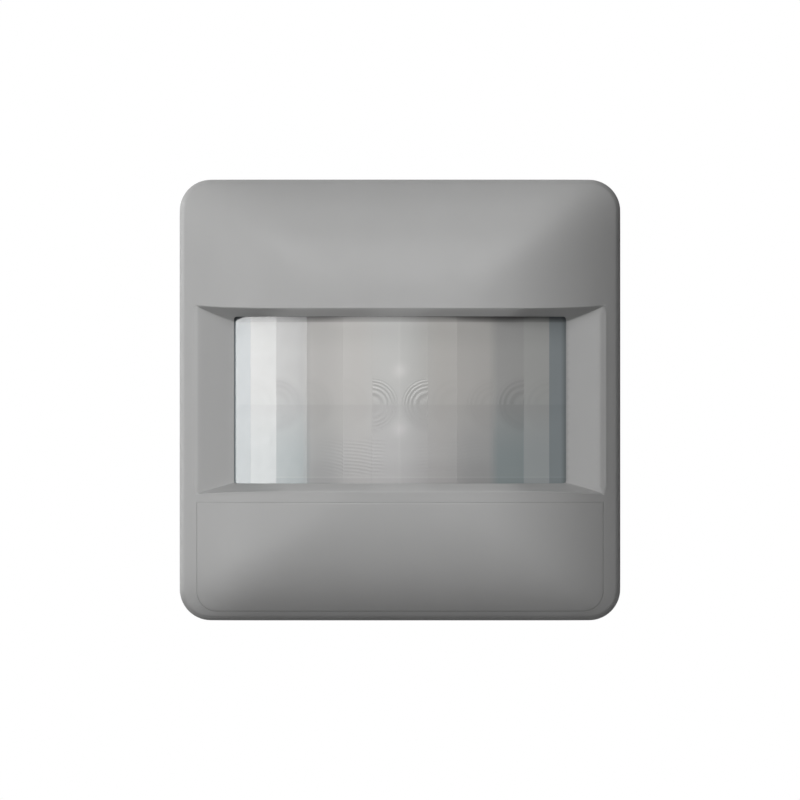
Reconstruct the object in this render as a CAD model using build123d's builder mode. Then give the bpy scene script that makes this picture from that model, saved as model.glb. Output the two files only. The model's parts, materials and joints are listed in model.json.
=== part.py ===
"""Motion sensor light switch for a round 60 mm wall box.

A domed square cover carries a curved lens in a recessed window, and a lid with a fine seam below it.
Behind them is the sensor head with its board, dials and mode slider. The head plugs into a flush
insert: a steel support ring, a housing with the switching relay, and three wire terminals.

The frame has X to the right, Z up and the room at -Y. The origin is the centre of the support ring's
back, which lies on the wall. Heights below are stand-offs from the wall: y = -height.
"""

import os

from build123d import *

# General clearances
overrun = 1.0  # how far a cut runs past what it cuts
fit_gap = 0.15  # between pieces that are fitted and stay still
slide_gap = 0.2  # round pieces that move by hand
shaft_gap = 0.05  # round a shaft that turns in its bore

# Domed cover
plate_side = 71.0
plate_corner = 5.0
plate_wall = 1.8
skin = 2.0
crown_height = 24.0
skirt_height = 1.5
side_drop = 12.6  # how far the face falls from its crown to the middle of a side edge
top_drop = 11.6  # and to the middle of the top or bottom edge
side_power = 3.6
top_power = 5.5
blend_power = 2.5  # how sharply the side and top slopes meet on the diagonals
face_grid = 36  # steps of the grid that the domed face is drawn through
face_tolerance = 0.001

# Window round the lens
window_side_margin = 2.8  # between the window's ends and the plate's sides
window_mid_rim = 1.2  # from the lens opening to the window's front edge, in the middle
window_end_rim = 1.75  # and at the window's ends
flare_power = 6
window_lip = 0.3
window_floor = 1.8
window_wall = 1.6
window_steps = 8
end_lean = 0.2  # how far the window's slope leans out per unit of rise at its very ends
lens_corner = 0.5

# Lens
lens_width = 53.4
lens_height = 26.8
lens_recess = 1.5
lens_sheet = 1.0
lens_tuck = 1.2
lens_step = 0.6
lens_flange = 0.8
lens_groove = 0.25  # how deep the inner face's flat strips cut into the sheet
strip_edge_shares = (0.166, 0.343, 0.56, 0.744, 0.898)  # strip edges over half the lens's width

# Lens frame behind the lens's flange
frame_sheet = 1.4
frame_leg = 2.4

# Lid over the controls
lid_strip = 1.25  # between the window's ends and the lid
lid_margin = 1.5  # between the lid and the plate's lower edge
lid_corner = 3.2
lid_seam = 0.2
lid_arm_width = 4.0
lid_arm_sheet = 1.2
lid_arm_inset = 5.7  # from the lid's sides to the middles of its arms
lid_arm_channel = 0.6

# Control tray behind the lid
tray_floor_height = 9.4
tray_floor = 1.2
tray_wall = 2.4
screw_boss = 2.6

# Control board
board_height = 5.4
board_sheet = 1.6
board_side_gap = 3.55  # between the board and the rear cover's outline, at the sides
board_end_gap = 3.05  # and above and below
board_notch = 5.8

# Rear cover of the head
rear_height = 3.4
rear_sheet = 1.2
rear_rim = 1.2
rear_rim_depth = 3.0
rear_pad = 6.0
rear_pad_spread = 26.0
standoff_radius = 2.0
standoff_spread = 44.0
head_screw_inset = 5.05  # from the rear cover's outline to the screws
head_screw_radius = 1.1
head_screw_head = 2.1
head_screw_head_tall = 1.0
head_screw_length = 5.6
screw_recess_width = 1.1
screw_recess_depth = 0.6

# Dials and mode slider, in one row
dial_place_shares = (-0.56, -0.19, 0.18)  # over half the lid's width
slider_place_share = 0.58
dial_radius = 3.8
dial_tall = 3.2
dial_stub_radius = 1.4
dial_stub_length = 1.2  # how far the stub reaches into the potentiometer
dial_slot_width = 1.2
dial_slot_depth = 1.0
dial_rib_count = 16
dial_rib_radius = 0.35
pot_side = 8.6
slider_travel = 2.4  # each way from the middle
slider_width = 3.0
slider_tall_side = 4.0
slider_tall = 3.0
slider_stem = 1.4
slider_grip = 0.5
switch_width = 12.0
switch_side = 6.4

# Sensing parts on the board
can_radius = 4.1
can_tall = 3.6
can_flange_radius = 4.6
can_flange = 0.5
can_window_width = 4.6
can_window_side = 3.4
can_window_sheet = 0.4
led_radius = 1.5
led_tall = 3.4
led_offset = 9.0
cell_radius = 2.0
cell_tall = 2.2
chip_width = 9.0
chip_side = 7.0
chip_tall = 1.5
chip_leg_count = 8
chip_leg_pitch = 1.0
chip_leg_width = 0.4
chip_leg_reach = 1.0
coil_radius = 3.2
coil_tall = 3.0
timer_can_radius = 3.0
timer_can_tall = 5.4
part_row_spread = 34.0

# Plug between head and insert
pin_pitch = 2.54
pin_columns = 4
pin_rows = 2
pin_side = 0.64
pin_reach = 3.2  # how far the pins reach into the socket
pin_tip = 0.6  # how far they stand past the board
plug_block_height = 2.6
plug_margin = 2.54
socket_hole_side = 0.9

# Support ring
ring_sheet = 1.0
ring_edge = 1.8  # of steel outside each slot
ring_corner_cut = 9.0
slot_width = 3.8
slot_length = 6.4
slot_web = 1.8  # between the insert's flats and the slots
rivet_web = 3.05  # from the insert's round to the rivets' middles
rivet_radius = 1.2
rivet_head = 2.0
rivet_head_tall = 0.7

# Insert housing
insert_diameter = 54.0
insert_flat_cut = 2.0  # how deep each flat cuts into the round
insert_depth = 27.0
insert_wall = 1.6
flange_lap = 1.5  # how far the flange stands out past the flats
flange_corner = 6.0
flange_sheet = 1.4
back_sheet = 1.6
back_boss = 2.6
back_boss_sink = 0.45  # how far the bosses sink into the housing's wall
back_screw_row = 12.5  # above and below the middle
back_screw_radius = 1.1
back_screw_head = 2.0
back_screw_head_tall = 1.2
back_screw_length = 8.0

# Power board and what stands on it
power_depth = 6.8
power_sheet = 1.6
power_side_gap = 8.0  # between the board and the insert's flats, at the sides
power_end_gap = 7.5  # and above and below
post_radius = 2.0
post_inset = 3.0  # from the board's sides to the posts
relay_width = 20.0
relay_side = 10.4
relay_tall = 15.4
relay_gap = 0.8  # to the film capacitor
film_width = 17.6
film_side = 6.0
film_tall = 12.0
film_gap = 1.6  # to the filter capacitor
filter_can_radius = 4.0
filter_can_tall = 12.0
filter_can_inset = 5.5  # from the board's side
filter_can_gap = 2.2  # to the terminal block
varistor_radius = 4.4
varistor_sheet = 3.6
varistor_x = 1.5
fuse_radius = 2.2
fuse_tall = 9.0
fuse_inset = 5.0  # from the board's side
lead_radius = 0.4
lead_gap = 0.8
lead_pitch = 5.0
board_screw_radius = 0.9
board_screw_length = 5.0
board_screw_head = 1.7
board_screw_head_tall = 1.0

# Terminals
terminal_count = 3
terminal_pitch = 8.4
terminal_wall = 1.3
terminal_side = 8.4
terminal_inset = 8.0  # from the insert's lower flat to the terminals' middles
terminal_depth = 12.6
wire_radius = 1.6
wire_length = 5.0
clamp_side = 5.8
clamp_depth = 6.4
clamp_bore = 1.9
clamp_tail_sheet = 0.8
clamp_tail_width = 2.0
clamp_tail_rise = 2.5  # above the clamp's middle
clamp_screw_radius = 1.4
clamp_screw_head = 1.9
clamp_screw_head_tall = 1.4
driver_bore = 2.1

# Values that follow from the ones above
half_plate = plate_side / 2
window_width = plate_side - 2 * window_side_margin
window_mid_height = lens_height + 2 * window_mid_rim
window_end_height = lens_height + 2 * window_end_rim
half_window = window_width / 2
half_lens_width = lens_width / 2
half_lens_height = lens_height / 2
flange_width = lens_width + 2 * lens_tuck
flange_height = lens_height + 2 * lens_tuck
lid_width = window_width
lid_top = window_end_height / 2 + lid_strip  # below the middle of the plate
lid_bottom = half_plate - lid_margin
lid_arm_spread = lid_width - 2 * lid_arm_inset
control_row = (lid_top + lid_bottom) / 2  # below the middle of the plate
cavity_side = plate_side - 2 * plate_wall
cavity_corner = plate_corner - plate_wall
inner_side = cavity_side - 2 * fit_gap
half_inner = inner_side / 2
inner_corner = cavity_corner - fit_gap
head_screw_spread = inner_side - 2 * head_screw_inset
board_width = inner_side - 2 * board_side_gap
board_tall = inner_side - 2 * board_end_gap
chip_place = (flange_height + board_tall) / 4  # above the middle of the plate
insert_flat = insert_diameter - 2 * insert_flat_cut
box_screw_spread = insert_flat + 2 * slot_web + slot_length
ring_side = box_screw_spread + slot_length + 2 * ring_edge
flange_side = insert_flat + 2 * flange_lap
rivet_spread = (insert_diameter / 2 + rivet_web) * 2**0.5
back_screw_circle = insert_diameter / 2 - insert_wall - back_boss + back_boss_sink
back_screw_column = (back_screw_circle**2 - back_screw_row**2) ** 0.5
power_width = insert_flat - 2 * power_side_gap
power_tall = insert_flat - 2 * power_end_gap
post_spread = power_width - 2 * post_inset
filter_can_x = filter_can_inset - power_width / 2
fuse_x = power_width / 2 - fuse_inset
terminal_z = insert_flat / 2 - terminal_inset  # below the middle
low_row_z = filter_can_radius + filter_can_gap + terminal_side / 2 - terminal_z
film_z = low_row_z + filter_can_radius + film_gap + film_side / 2
relay_z = film_z + film_side / 2 + relay_gap + relay_side / 2
board_front = board_height + board_sheet
tray_front = tray_floor_height + tray_floor
rear_front = rear_height + rear_sheet
flange_front = ring_sheet + flange_sheet
power_front = power_sheet - power_depth
socket_front = plug_block_height - fit_gap
back_height = -insert_depth - back_sheet
block_width = pin_pitch * (pin_columns - 1) + plug_margin
block_side = pin_pitch * (pin_rows - 1) + plug_margin
dial_places = [(share * lid_width / 2, -control_row) for share in dial_place_shares]
slider_place = slider_place_share * lid_width / 2
dial_base = tray_front + slide_gap
dial_top = dial_base + dial_tall
slider_top = dial_base + slider_tall
stem_way = slider_stem + 2 * slide_gap
pot_front = tray_floor_height - slide_gap
terminal_width = terminal_pitch * terminal_count + terminal_wall
terminal_back = -insert_depth + fit_gap
terminal_front = terminal_back + terminal_depth
clamp_back = terminal_back + wire_length


def level(height):
    """The plane that stands off the wall by this height, facing the room."""
    return Plane.XZ.offset(height)


def face_height(x, z):
    """The domed face's height over the wall: two barrel slopes that meet softly on the diagonals."""
    side = side_drop * (abs(x) / half_plate) ** side_power
    top = top_drop * (abs(z) / half_plate) ** top_power
    return crown_height - (side**blend_power + top**blend_power) ** (1 / blend_power)


def under_face(sunk):
    """Everything behind the domed face, once that face is sunk this far towards the wall."""
    reach = half_plate + overrun
    places = [reach * (2 * step / face_grid - 1) for step in range(face_grid + 1)]
    points = [[Vector(x, sunk - face_height(x, z), z) for x in places] for z in places]
    face = Face.make_surface_from_array_of_points(points, tol=face_tolerance, min_deg=3)
    return Solid.extrude(face, Vector(0, crown_height, 0))


face_solid = under_face(0)
skin_solid = under_face(skin)
half_skin_solid = under_face(skin / 2)
rest_solid = under_face(skin + fit_gap)

floor_height = face_height(half_window, 0)
lens_crown = crown_height - lens_recess
lens_sag = lens_crown - floor_height + window_lip
lens_radius = (half_lens_width**2 + lens_sag**2) / (2 * lens_sag)
lens_axis = lens_radius - lens_crown


def lens_front(x):
    """Height of the lens's outer face."""
    return (lens_radius**2 - x**2) ** 0.5 - lens_axis


def window_edge(x):
    """Half the window's height at its front edge, which opens a little towards its ends."""
    flare = (abs(x) / half_window) ** flare_power
    return (window_mid_height + flare * (window_end_height - window_mid_height)) / 2


def window_slice(x, foot_z, foot_height, lean):
    """A section of the window's cut, from its foot up past the domed face."""
    tall = face_height(x, 0) - foot_height + overrun
    with BuildSketch(Plane.YZ.offset(x)) as section:
        with BuildLine():
            Polyline(
                (-foot_height, -foot_z),
                (-foot_height, foot_z),
                (-foot_height - tall, foot_z + lean * tall),
                (-foot_height - tall, -foot_z - lean * tall),
                close=True,
            )
        make_face()
    return section.sketch


def lens_slice(x):
    """The window's section over the lens, whose slope meets the domed face at the window's edge."""
    foot_height = lens_front(x) + window_lip
    edge = window_edge(x)
    lean = (edge - half_lens_height) / (face_height(x, edge) - foot_height)
    return window_slice(x, half_lens_height, foot_height, lean)


def lens_band(outer, inner, width):
    """The lens's arc seen from above, between two depths behind its face."""
    with BuildSketch() as band:
        with Locations((0, lens_axis)):
            Circle(lens_radius - outer)
            Circle(lens_radius - inner, mode=Mode.SUBTRACT)
            Rectangle(width, 2 * lens_radius, align=(Align.CENTER, Align.MAX), mode=Mode.INTERSECT)
    return band.sketch


def slab(outline, low, high):
    """A flat outline drawn out between two heights over the wall."""
    with BuildPart() as piece:
        with BuildSketch(level(low)):
            add(outline)
        extrude(amount=high - low)
    return piece.part


def pegs(places, radius, low, high):
    """Round pegs between two heights, which serve as bosses, shanks, heads or holes."""
    with BuildSketch() as outline:
        with Locations(*places):
            Circle(radius)
    return slab(outline.sketch, low, high)


def corners(wide, tall):
    """The four corners of a rectangle about the middle."""
    return [(sx * wide / 2, sz * tall / 2) for sx in (-1, 1) for sz in (-1, 1)]


def block(x, z, wide, tall, low, high):
    """A rectangular block between two heights."""
    with BuildSketch() as outline:
        with Locations((x, z)):
            Rectangle(wide, tall)
    return slab(outline.sketch, low, high)


def lid_outline(inset):
    """The lid's outline, which has square top corners and round bottom ones."""
    with BuildSketch() as outline:
        with Locations((0, -(lid_top + lid_bottom) / 2)):
            Rectangle(lid_width - 2 * inset, lid_bottom - lid_top - 2 * inset)
        fillet(outline.vertices().group_by(Axis.Y)[0], lid_corner - inset)
    return outline.sketch


def insert_outline(inset):
    """The insert's outline: a circle with four flats that leave room for the box screws."""
    with BuildSketch() as outline:
        Circle(insert_diameter / 2 - inset)
        Rectangle(insert_flat - 2 * inset, insert_flat - 2 * inset, mode=Mode.INTERSECT)
    return outline.sketch


os.makedirs("parts", exist_ok=True)


def save(piece, name):
    """Label a finished piece and write it."""
    piece.part.label = name
    export_step(piece.part, f"parts/{name}.step")


# Domed cover: its cavity, the block round its window, and the window's cut
with BuildPart() as cover_cavity:
    with BuildSketch(level(skirt_height - overrun)):
        RectangleRounded(cavity_side, cavity_side, cavity_corner)
    extrude(amount=crown_height)
    add(skin_solid, mode=Mode.INTERSECT)

with BuildPart() as window_block:
    with BuildSketch(level(floor_height - window_floor)):
        Rectangle(window_width + window_wall, window_end_height + 2 * window_wall)
    extrude(amount=crown_height)
    add(half_skin_solid, mode=Mode.INTERSECT)

with BuildPart() as window_middle:
    steps = [lens_width * (step / window_steps - 1 / 2) for step in range(window_steps + 1)]
    loft(sections=[lens_slice(x) for x in steps])

edge_lean = (window_edge(half_lens_width) - half_lens_height) / (
    face_height(half_lens_width, window_edge(half_lens_width)) - floor_height
)
with BuildPart() as window_ends:
    end_slices = [
        window_slice(half_lens_width, half_lens_height, floor_height, edge_lean),
        window_slice(half_window, window_edge(half_window), floor_height, end_lean),
    ]
    loft(sections=end_slices, ruled=True)
    mirror(about=Plane.YZ)

with BuildPart() as lens_pocket:
    with BuildSketch(Plane.XY):
        add(lens_band(lens_step - fit_gap, lens_sag + lens_sheet, flange_width + 2 * fit_gap))
    extrude(amount=flange_height / 2 + fit_gap, both=True)

front_screws = [place for place in corners(head_screw_spread, head_screw_spread) if place[1] > 0]
tray_screws = [place for place in corners(head_screw_spread, head_screw_spread) if place[1] < 0]
screw_tip = rear_height + head_screw_length

with BuildPart() as cover_bosses:
    add(pegs(front_screws, screw_boss, rear_front, crown_height))
    add(half_skin_solid, mode=Mode.INTERSECT)

with BuildPart() as front_plate:
    with BuildSketch(level(skirt_height)):
        RectangleRounded(plate_side, plate_side, plate_corner)
    extrude(amount=crown_height)
    add(face_solid, mode=Mode.INTERSECT)
    add(cover_cavity.part, mode=Mode.SUBTRACT)
    add(window_block.part)
    add(cover_bosses.part)
    add(window_middle.part, mode=Mode.SUBTRACT)
    add(window_ends.part, mode=Mode.SUBTRACT)
    add(lens_pocket.part, mode=Mode.SUBTRACT)
    with BuildSketch(level(0)):
        RectangleRounded(lens_width, lens_height, lens_corner)
    extrude(amount=crown_height, mode=Mode.SUBTRACT)
    add(slab(lid_outline(0), tray_front, crown_height + overrun), mode=Mode.SUBTRACT)
    add(pegs(front_screws, head_screw_radius, rear_front - overrun, screw_tip), mode=Mode.SUBTRACT)
save(front_plate, "front_plate")

# Lens: a raised field with flat strips on its inner face, and a flange that the cover and frame clamp
with BuildPart() as fresnel_lens:
    with BuildSketch(Plane.XY):
        add(lens_band(0, lens_sheet, lens_width - 2 * fit_gap))
    extrude(amount=half_lens_height - fit_gap, both=True)
    with BuildSketch(Plane.XY):
        add(lens_band(lens_step, lens_step + lens_flange, flange_width))
    extrude(amount=flange_height / 2, both=True)
    with BuildSketch(Plane.XY):
        with BuildLine():
            groove_radius = lens_radius - lens_sheet + lens_groove
            right = [(share * half_lens_width, share) for share in strip_edge_shares]
            strip_xs = [-x for x, _ in reversed(right)] + [0] + [x for x, _ in right]
            strip_edges = [(x, lens_axis - (groove_radius**2 - x**2) ** 0.5) for x in strip_xs]
            Polyline(*strip_edges, (strip_xs[-1], lens_axis), (strip_xs[0], lens_axis), close=True)
        make_face()
    extrude(amount=half_lens_height - lens_tuck, both=True, mode=Mode.SUBTRACT)
save(fresnel_lens, "fresnel_lens")

# Frame that holds the lens from behind and stands on the control board
frame_depth = lens_step + lens_flange + fit_gap
with BuildPart() as frame_legs:
    with BuildSketch(level(board_front)):
        with GridLocations(flange_width - frame_leg, flange_height - frame_leg, 2, 2):
            Rectangle(frame_leg, frame_leg)
    extrude(amount=crown_height)
    with BuildSketch(Plane.XY):
        with Locations((0, lens_axis)):
            Circle(lens_radius - frame_depth - frame_sheet / 2)
    extrude(amount=lens_height, both=True, mode=Mode.INTERSECT)

with BuildPart() as lens_frame:
    with BuildSketch(Plane.XY):
        add(lens_band(frame_depth, frame_depth + frame_sheet, flange_width))
    extrude(amount=flange_height / 2, both=True)
    with BuildSketch(level(0)):
        Rectangle(lens_width - 2 * lens_tuck, lens_height - 2 * lens_tuck)
    extrude(amount=crown_height, mode=Mode.SUBTRACT)
    add(frame_legs.part)
save(lens_frame, "lens_frame")

# Control tray: the pocket behind the lid, open where the dials and the slider stand through
pocket_top = lid_top + fit_gap + tray_wall
pocket_bottom = half_inner - tray_wall
arm_rows = (
    -pocket_top + lid_arm_channel - slide_gap - lid_arm_sheet / 2,
    -pocket_bottom - lid_arm_channel + slide_gap + lid_arm_sheet / 2,
)
arm_places = [(side * lid_arm_spread / 2, z) for side in (-1, 1) for z in arm_rows]

with BuildPart() as lid_arms:
    with BuildSketch(level(tray_front + slide_gap)):
        with Locations(*arm_places):
            Rectangle(lid_arm_width, lid_arm_sheet)
    extrude(amount=crown_height)
    add(half_skin_solid, mode=Mode.INTERSECT)

with BuildPart() as control_tray:
    with BuildSketch(level(tray_floor_height)) as tray_sketch:
        with Locations((0, -(lid_top + fit_gap + half_inner) / 2)):
            Rectangle(inner_side, half_inner - lid_top - fit_gap)
        fillet(tray_sketch.vertices().group_by(Axis.Z)[0], inner_corner)
    extrude(amount=crown_height)
    add(rest_solid, mode=Mode.INTERSECT)
    with BuildSketch(level(tray_front)):
        with Locations((0, -(pocket_top + pocket_bottom) / 2)):
            Rectangle(2 * pocket_bottom, pocket_bottom - pocket_top)
        with Locations(*arm_places):
            Rectangle(lid_arm_width + 2 * slide_gap, lid_arm_sheet + 2 * slide_gap)
    extrude(amount=crown_height, mode=Mode.SUBTRACT)
    add(pegs(tray_screws, screw_boss, rear_front, tray_floor_height))
    add(pegs(tray_screws, head_screw_radius, rear_front - overrun, screw_tip), mode=Mode.SUBTRACT)
    add(pegs(dial_places, dial_stub_radius + slide_gap, 0, crown_height), mode=Mode.SUBTRACT)
    add(
        block(slider_place, -control_row, stem_way + 2 * slider_travel, stem_way, 0, crown_height),
        mode=Mode.SUBTRACT,
    )
save(control_tray, "control_tray")

# Lid: follows the domed face, with four arms that run in the tray's channels
with BuildPart() as control_lid:
    add(slab(lid_outline(lid_seam), tray_front, crown_height + overrun))
    add(face_solid, mode=Mode.INTERSECT)
    add(skin_solid, mode=Mode.SUBTRACT)
    add(lid_arms.part)
save(control_lid, "control_lid")

# Dials with a knurled rim, a driver slot and a stub that turns in the potentiometer
for name, place in zip(("time_dial", "lux_dial", "range_dial"), dial_places):
    with BuildPart() as dial:
        with BuildSketch(level(dial_base)):
            with Locations(place):
                Circle(dial_radius)
                with PolarLocations(dial_radius, dial_rib_count):
                    Circle(dial_rib_radius)
        extrude(amount=dial_tall)
        add(pegs([place], dial_stub_radius, pot_front - dial_stub_length, dial_base))
        slot_length_across = 2 * dial_radius - dial_slot_width
        slot_floor = dial_top - dial_slot_depth
        add(block(*place, dial_slot_width, slot_length_across, slot_floor, dial_top), mode=Mode.SUBTRACT)
    save(dial, name)

with BuildPart() as potentiometers:
    with BuildSketch(level(board_front)):
        with Locations(*dial_places):
            Rectangle(pot_side, pot_side)
    extrude(amount=pot_front - board_front)
    stub_floor = pot_front - dial_stub_length - slide_gap
    add(pegs(dial_places, dial_stub_radius + shaft_gap, stub_floor, pot_front + overrun), mode=Mode.SUBTRACT)
save(potentiometers, "potentiometers")

# Mode slider and its switch
with BuildPart() as mode_slider:
    stem_low = pot_front - dial_stub_length
    grip_floor = slider_top - slider_grip
    add(block(slider_place, -control_row, slider_width, slider_tall_side, dial_base, slider_top))
    add(block(slider_place, -control_row, slider_stem, slider_stem, stem_low, dial_base))
    add(
        block(slider_place, -control_row, slider_grip, slider_tall_side, grip_floor, slider_top),
        mode=Mode.SUBTRACT,
    )
save(mode_slider, "mode_slider")

with BuildPart() as slide_switch:
    add(block(slider_place, -control_row, switch_width, switch_side, board_front, pot_front))
    way_length = stem_way + 2 * slider_travel
    add(
        block(slider_place, -control_row, way_length, stem_way, stem_low - slide_gap, pot_front),
        mode=Mode.SUBTRACT,
    )
save(slide_switch, "slide_switch")

# Control board with its motion sensor, light cell, indicator and small parts
with BuildPart() as control_board:
    with BuildSketch(level(board_height)):
        Rectangle(board_width, board_tall)
        with GridLocations(board_width, board_tall, 2, 2):
            Rectangle(2 * board_notch, 2 * board_notch, mode=Mode.SUBTRACT)
        with GridLocations(pin_pitch, pin_pitch, pin_columns, pin_rows):
            Rectangle(pin_side, pin_side, mode=Mode.SUBTRACT)
    extrude(amount=board_sheet)
save(control_board, "control_board")

sensor_floor = board_front + pin_tip + fit_gap
sensor_top = sensor_floor + can_flange + can_tall
with BuildPart() as sensor_socket:
    add(pegs([(0, 0)], can_flange_radius, board_front, sensor_floor))
    with BuildSketch(level(0)):
        with GridLocations(pin_pitch, pin_pitch, pin_columns, pin_rows):
            Rectangle(pin_side + fit_gap, pin_side + fit_gap)
    extrude(amount=crown_height, mode=Mode.SUBTRACT)
save(sensor_socket, "sensor_socket")

with BuildPart() as motion_sensor:
    add(pegs([(0, 0)], can_flange_radius, sensor_floor, sensor_floor + can_flange))
    add(pegs([(0, 0)], can_radius, sensor_floor + can_flange, sensor_top))
    add(
        block(0, 0, can_window_width, can_window_side, sensor_top - can_window_sheet, sensor_top + overrun),
        mode=Mode.SUBTRACT,
    )
save(motion_sensor, "motion_sensor")

with BuildPart() as sensor_window:
    add(block(0, 0, can_window_width, can_window_side, sensor_top - can_window_sheet, sensor_top))
save(sensor_window, "sensor_window")

with BuildPart() as indicator_led:
    add(pegs([(led_offset, 0)], led_radius, board_front, board_front + led_tall))
    fillet(indicator_led.faces().sort_by(Axis.Y)[0].edges(), led_radius / 2)
save(indicator_led, "indicator_led")

with BuildPart() as light_cell:
    add(pegs([(-led_offset, 0)], cell_radius, board_front, board_front + cell_tall))
save(light_cell, "light_cell")

with BuildPart() as control_chip:
    add(block(0, chip_place, chip_width, chip_side, board_front, board_front + chip_tall))
    with BuildSketch(level(board_front)):
        with Locations((0, chip_place)):
            with GridLocations(chip_leg_pitch, chip_side + chip_leg_reach, chip_leg_count, 2):
                Rectangle(chip_leg_width, chip_leg_reach)
    extrude(amount=chip_leg_width)
save(control_chip, "control_chip")

with BuildPart() as filter_coil:
    add(pegs([(-part_row_spread / 2, chip_place)], coil_radius, board_front, board_front + coil_tall))
save(filter_coil, "filter_coil")

with BuildPart() as timer_capacitor:
    timer_place = [(part_row_spread / 2, chip_place)]
    add(pegs(timer_place, timer_can_radius, board_front, board_front + timer_can_tall))
save(timer_capacitor, "timer_capacitor")

# Plug between the head and the insert
with BuildPart() as plug_block:
    add(block(0, 0, block_width, block_side, plug_block_height, board_height))
    with BuildSketch(level(0)):
        with GridLocations(pin_pitch, pin_pitch, pin_columns, pin_rows):
            Rectangle(pin_side, pin_side)
    extrude(amount=crown_height, mode=Mode.SUBTRACT)
save(plug_block, "plug_block")

with BuildPart() as plug_pins:
    with BuildSketch(level(socket_front - pin_reach)):
        with GridLocations(pin_pitch, pin_pitch, pin_columns, pin_rows):
            Rectangle(pin_side, pin_side)
    extrude(amount=board_front + pin_tip - socket_front + pin_reach)
save(plug_pins, "plug_pins")

# Rear cover of the head, with a rim, board standoffs and pads that bear on the insert
with BuildPart() as rear_cover:
    with BuildSketch(level(rear_height)):
        RectangleRounded(inner_side, inner_side, inner_corner)
    extrude(amount=rear_sheet + rear_rim_depth)
    with BuildSketch(level(rear_front)):
        RectangleRounded(inner_side - 2 * rear_rim, inner_side - 2 * rear_rim, inner_corner - rear_rim)
    extrude(amount=rear_rim_depth + overrun, mode=Mode.SUBTRACT)
    add(pegs(corners(standoff_spread, standoff_spread), standoff_radius, rear_front, board_height))
    for x, z in corners(rear_pad_spread, rear_pad_spread):
        add(block(x, z, rear_pad, rear_pad, flange_front, rear_height))
    screw_places = corners(head_screw_spread, head_screw_spread)
    add(pegs(screw_places, head_screw_radius + fit_gap, 0, rear_front), mode=Mode.SUBTRACT)
    add(
        block(0, 0, block_width + 2 * fit_gap, block_side + 2 * fit_gap, 0, rear_front),
        mode=Mode.SUBTRACT,
    )
save(rear_cover, "rear_cover")


def screws(places, radius, head, head_tall, neck, tip):
    """Screws whose heads lie behind the neck height and whose shanks reach the tip height."""
    with BuildPart() as group:
        add(pegs(places, head, neck - head_tall, neck))
        add(pegs(places, radius, neck, tip))
        for x, z in places:
            for wide, tall in ((head, screw_recess_depth), (screw_recess_depth, head)):
                floor = neck - head_tall + screw_recess_depth
                add(block(x, z, wide, tall, neck - head_tall - overrun, floor), mode=Mode.SUBTRACT)
    return group


head_screws = screws(
    screw_places, head_screw_radius, head_screw_head, head_screw_head_tall, rear_height, screw_tip
)
save(head_screws, "head_screws")

# Support ring of the insert, with a radial slot on each side for the box screws
slot_places = [(box_screw_spread / 2, 0), (-box_screw_spread / 2, 0)]
with BuildPart() as support_ring:
    with BuildSketch(level(0)) as ring_sketch:
        Rectangle(ring_side, ring_side)
        chamfer(ring_sketch.vertices(), ring_corner_cut)
        add(insert_outline(-fit_gap), mode=Mode.SUBTRACT)
        with Locations(*slot_places):
            SlotOverall(slot_length, slot_width, mode=Mode.SUBTRACT)
        with Locations(*[(z, x) for x, z in slot_places]):
            SlotOverall(slot_length, slot_width, rotation=90, mode=Mode.SUBTRACT)
        with Locations(*corners(rivet_spread, rivet_spread)):
            Circle(rivet_radius, mode=Mode.SUBTRACT)
    extrude(amount=ring_sheet)
save(support_ring, "support_ring")

with BuildPart() as ring_rivets:
    add(pegs(corners(rivet_spread, rivet_spread), rivet_radius, 0, flange_front))
    add(pegs(corners(rivet_spread, rivet_spread), rivet_head, flange_front, flange_front + rivet_head_tall))
save(ring_rivets, "ring_rivets")

# Insert housing: a cup behind a flange that lies on the ring
terminal_places = [
    ((index - (terminal_count - 1) / 2) * terminal_pitch, -terminal_z) for index in range(terminal_count)
]
back_screw_places = corners(2 * back_screw_column, 2 * back_screw_row)
post_places = corners(post_spread, post_spread)
back_screw_tip = -insert_depth + back_screw_length
clamp_middle = clamp_back + clamp_depth / 2


def rods(radius, low_z, high_z):
    """Upright rods in line with the clamps' screws, between two places along Z."""
    with BuildPart() as piece:
        with BuildSketch(Plane.XY.offset(low_z)):
            with Locations(*[(x, -clamp_middle) for x, _ in terminal_places]):
                Circle(radius)
        extrude(amount=high_z - low_z)
    return piece.part


with BuildPart() as insert_housing:
    with BuildSketch(level(ring_sheet)):
        RectangleRounded(flange_side, flange_side, flange_corner)
    extrude(amount=flange_sheet)
    add(slab(insert_outline(0), -insert_depth, ring_sheet))
    add(slab(insert_outline(insert_wall), -insert_depth, ring_sheet), mode=Mode.SUBTRACT)
    add(pegs(back_screw_places, back_boss, -insert_depth, back_screw_tip + insert_wall))
    add(pegs(back_screw_places, back_screw_radius, -insert_depth, back_screw_tip), mode=Mode.SUBTRACT)
    add(pegs(post_places, post_radius, power_front, ring_sheet))
    post_hole_top = board_screw_length - power_depth
    add(pegs(post_places, board_screw_radius, power_front, post_hole_top), mode=Mode.SUBTRACT)
    add(pegs(corners(rivet_spread, rivet_spread), rivet_radius, 0, crown_height), mode=Mode.SUBTRACT)
    add(
        block(0, 0, block_width + 2 * fit_gap, block_side + 2 * fit_gap, 0, crown_height),
        mode=Mode.SUBTRACT,
    )
    add(rods(driver_bore, -insert_flat, -insert_flat / 2 + 2 * insert_wall), mode=Mode.SUBTRACT)
save(insert_housing, "insert_housing")

# Power board and its parts
with BuildPart() as power_board:
    with BuildSketch(level(-power_depth)):
        Rectangle(power_width, power_tall)
        with Locations(*post_places):
            Circle(board_screw_radius, mode=Mode.SUBTRACT)
    extrude(amount=power_sheet)
save(power_board, "power_board")

board_screws = screws(
    post_places, board_screw_radius, board_screw_head, board_screw_head_tall, -power_depth, post_hole_top
)
save(board_screws, "board_screws")

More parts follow.
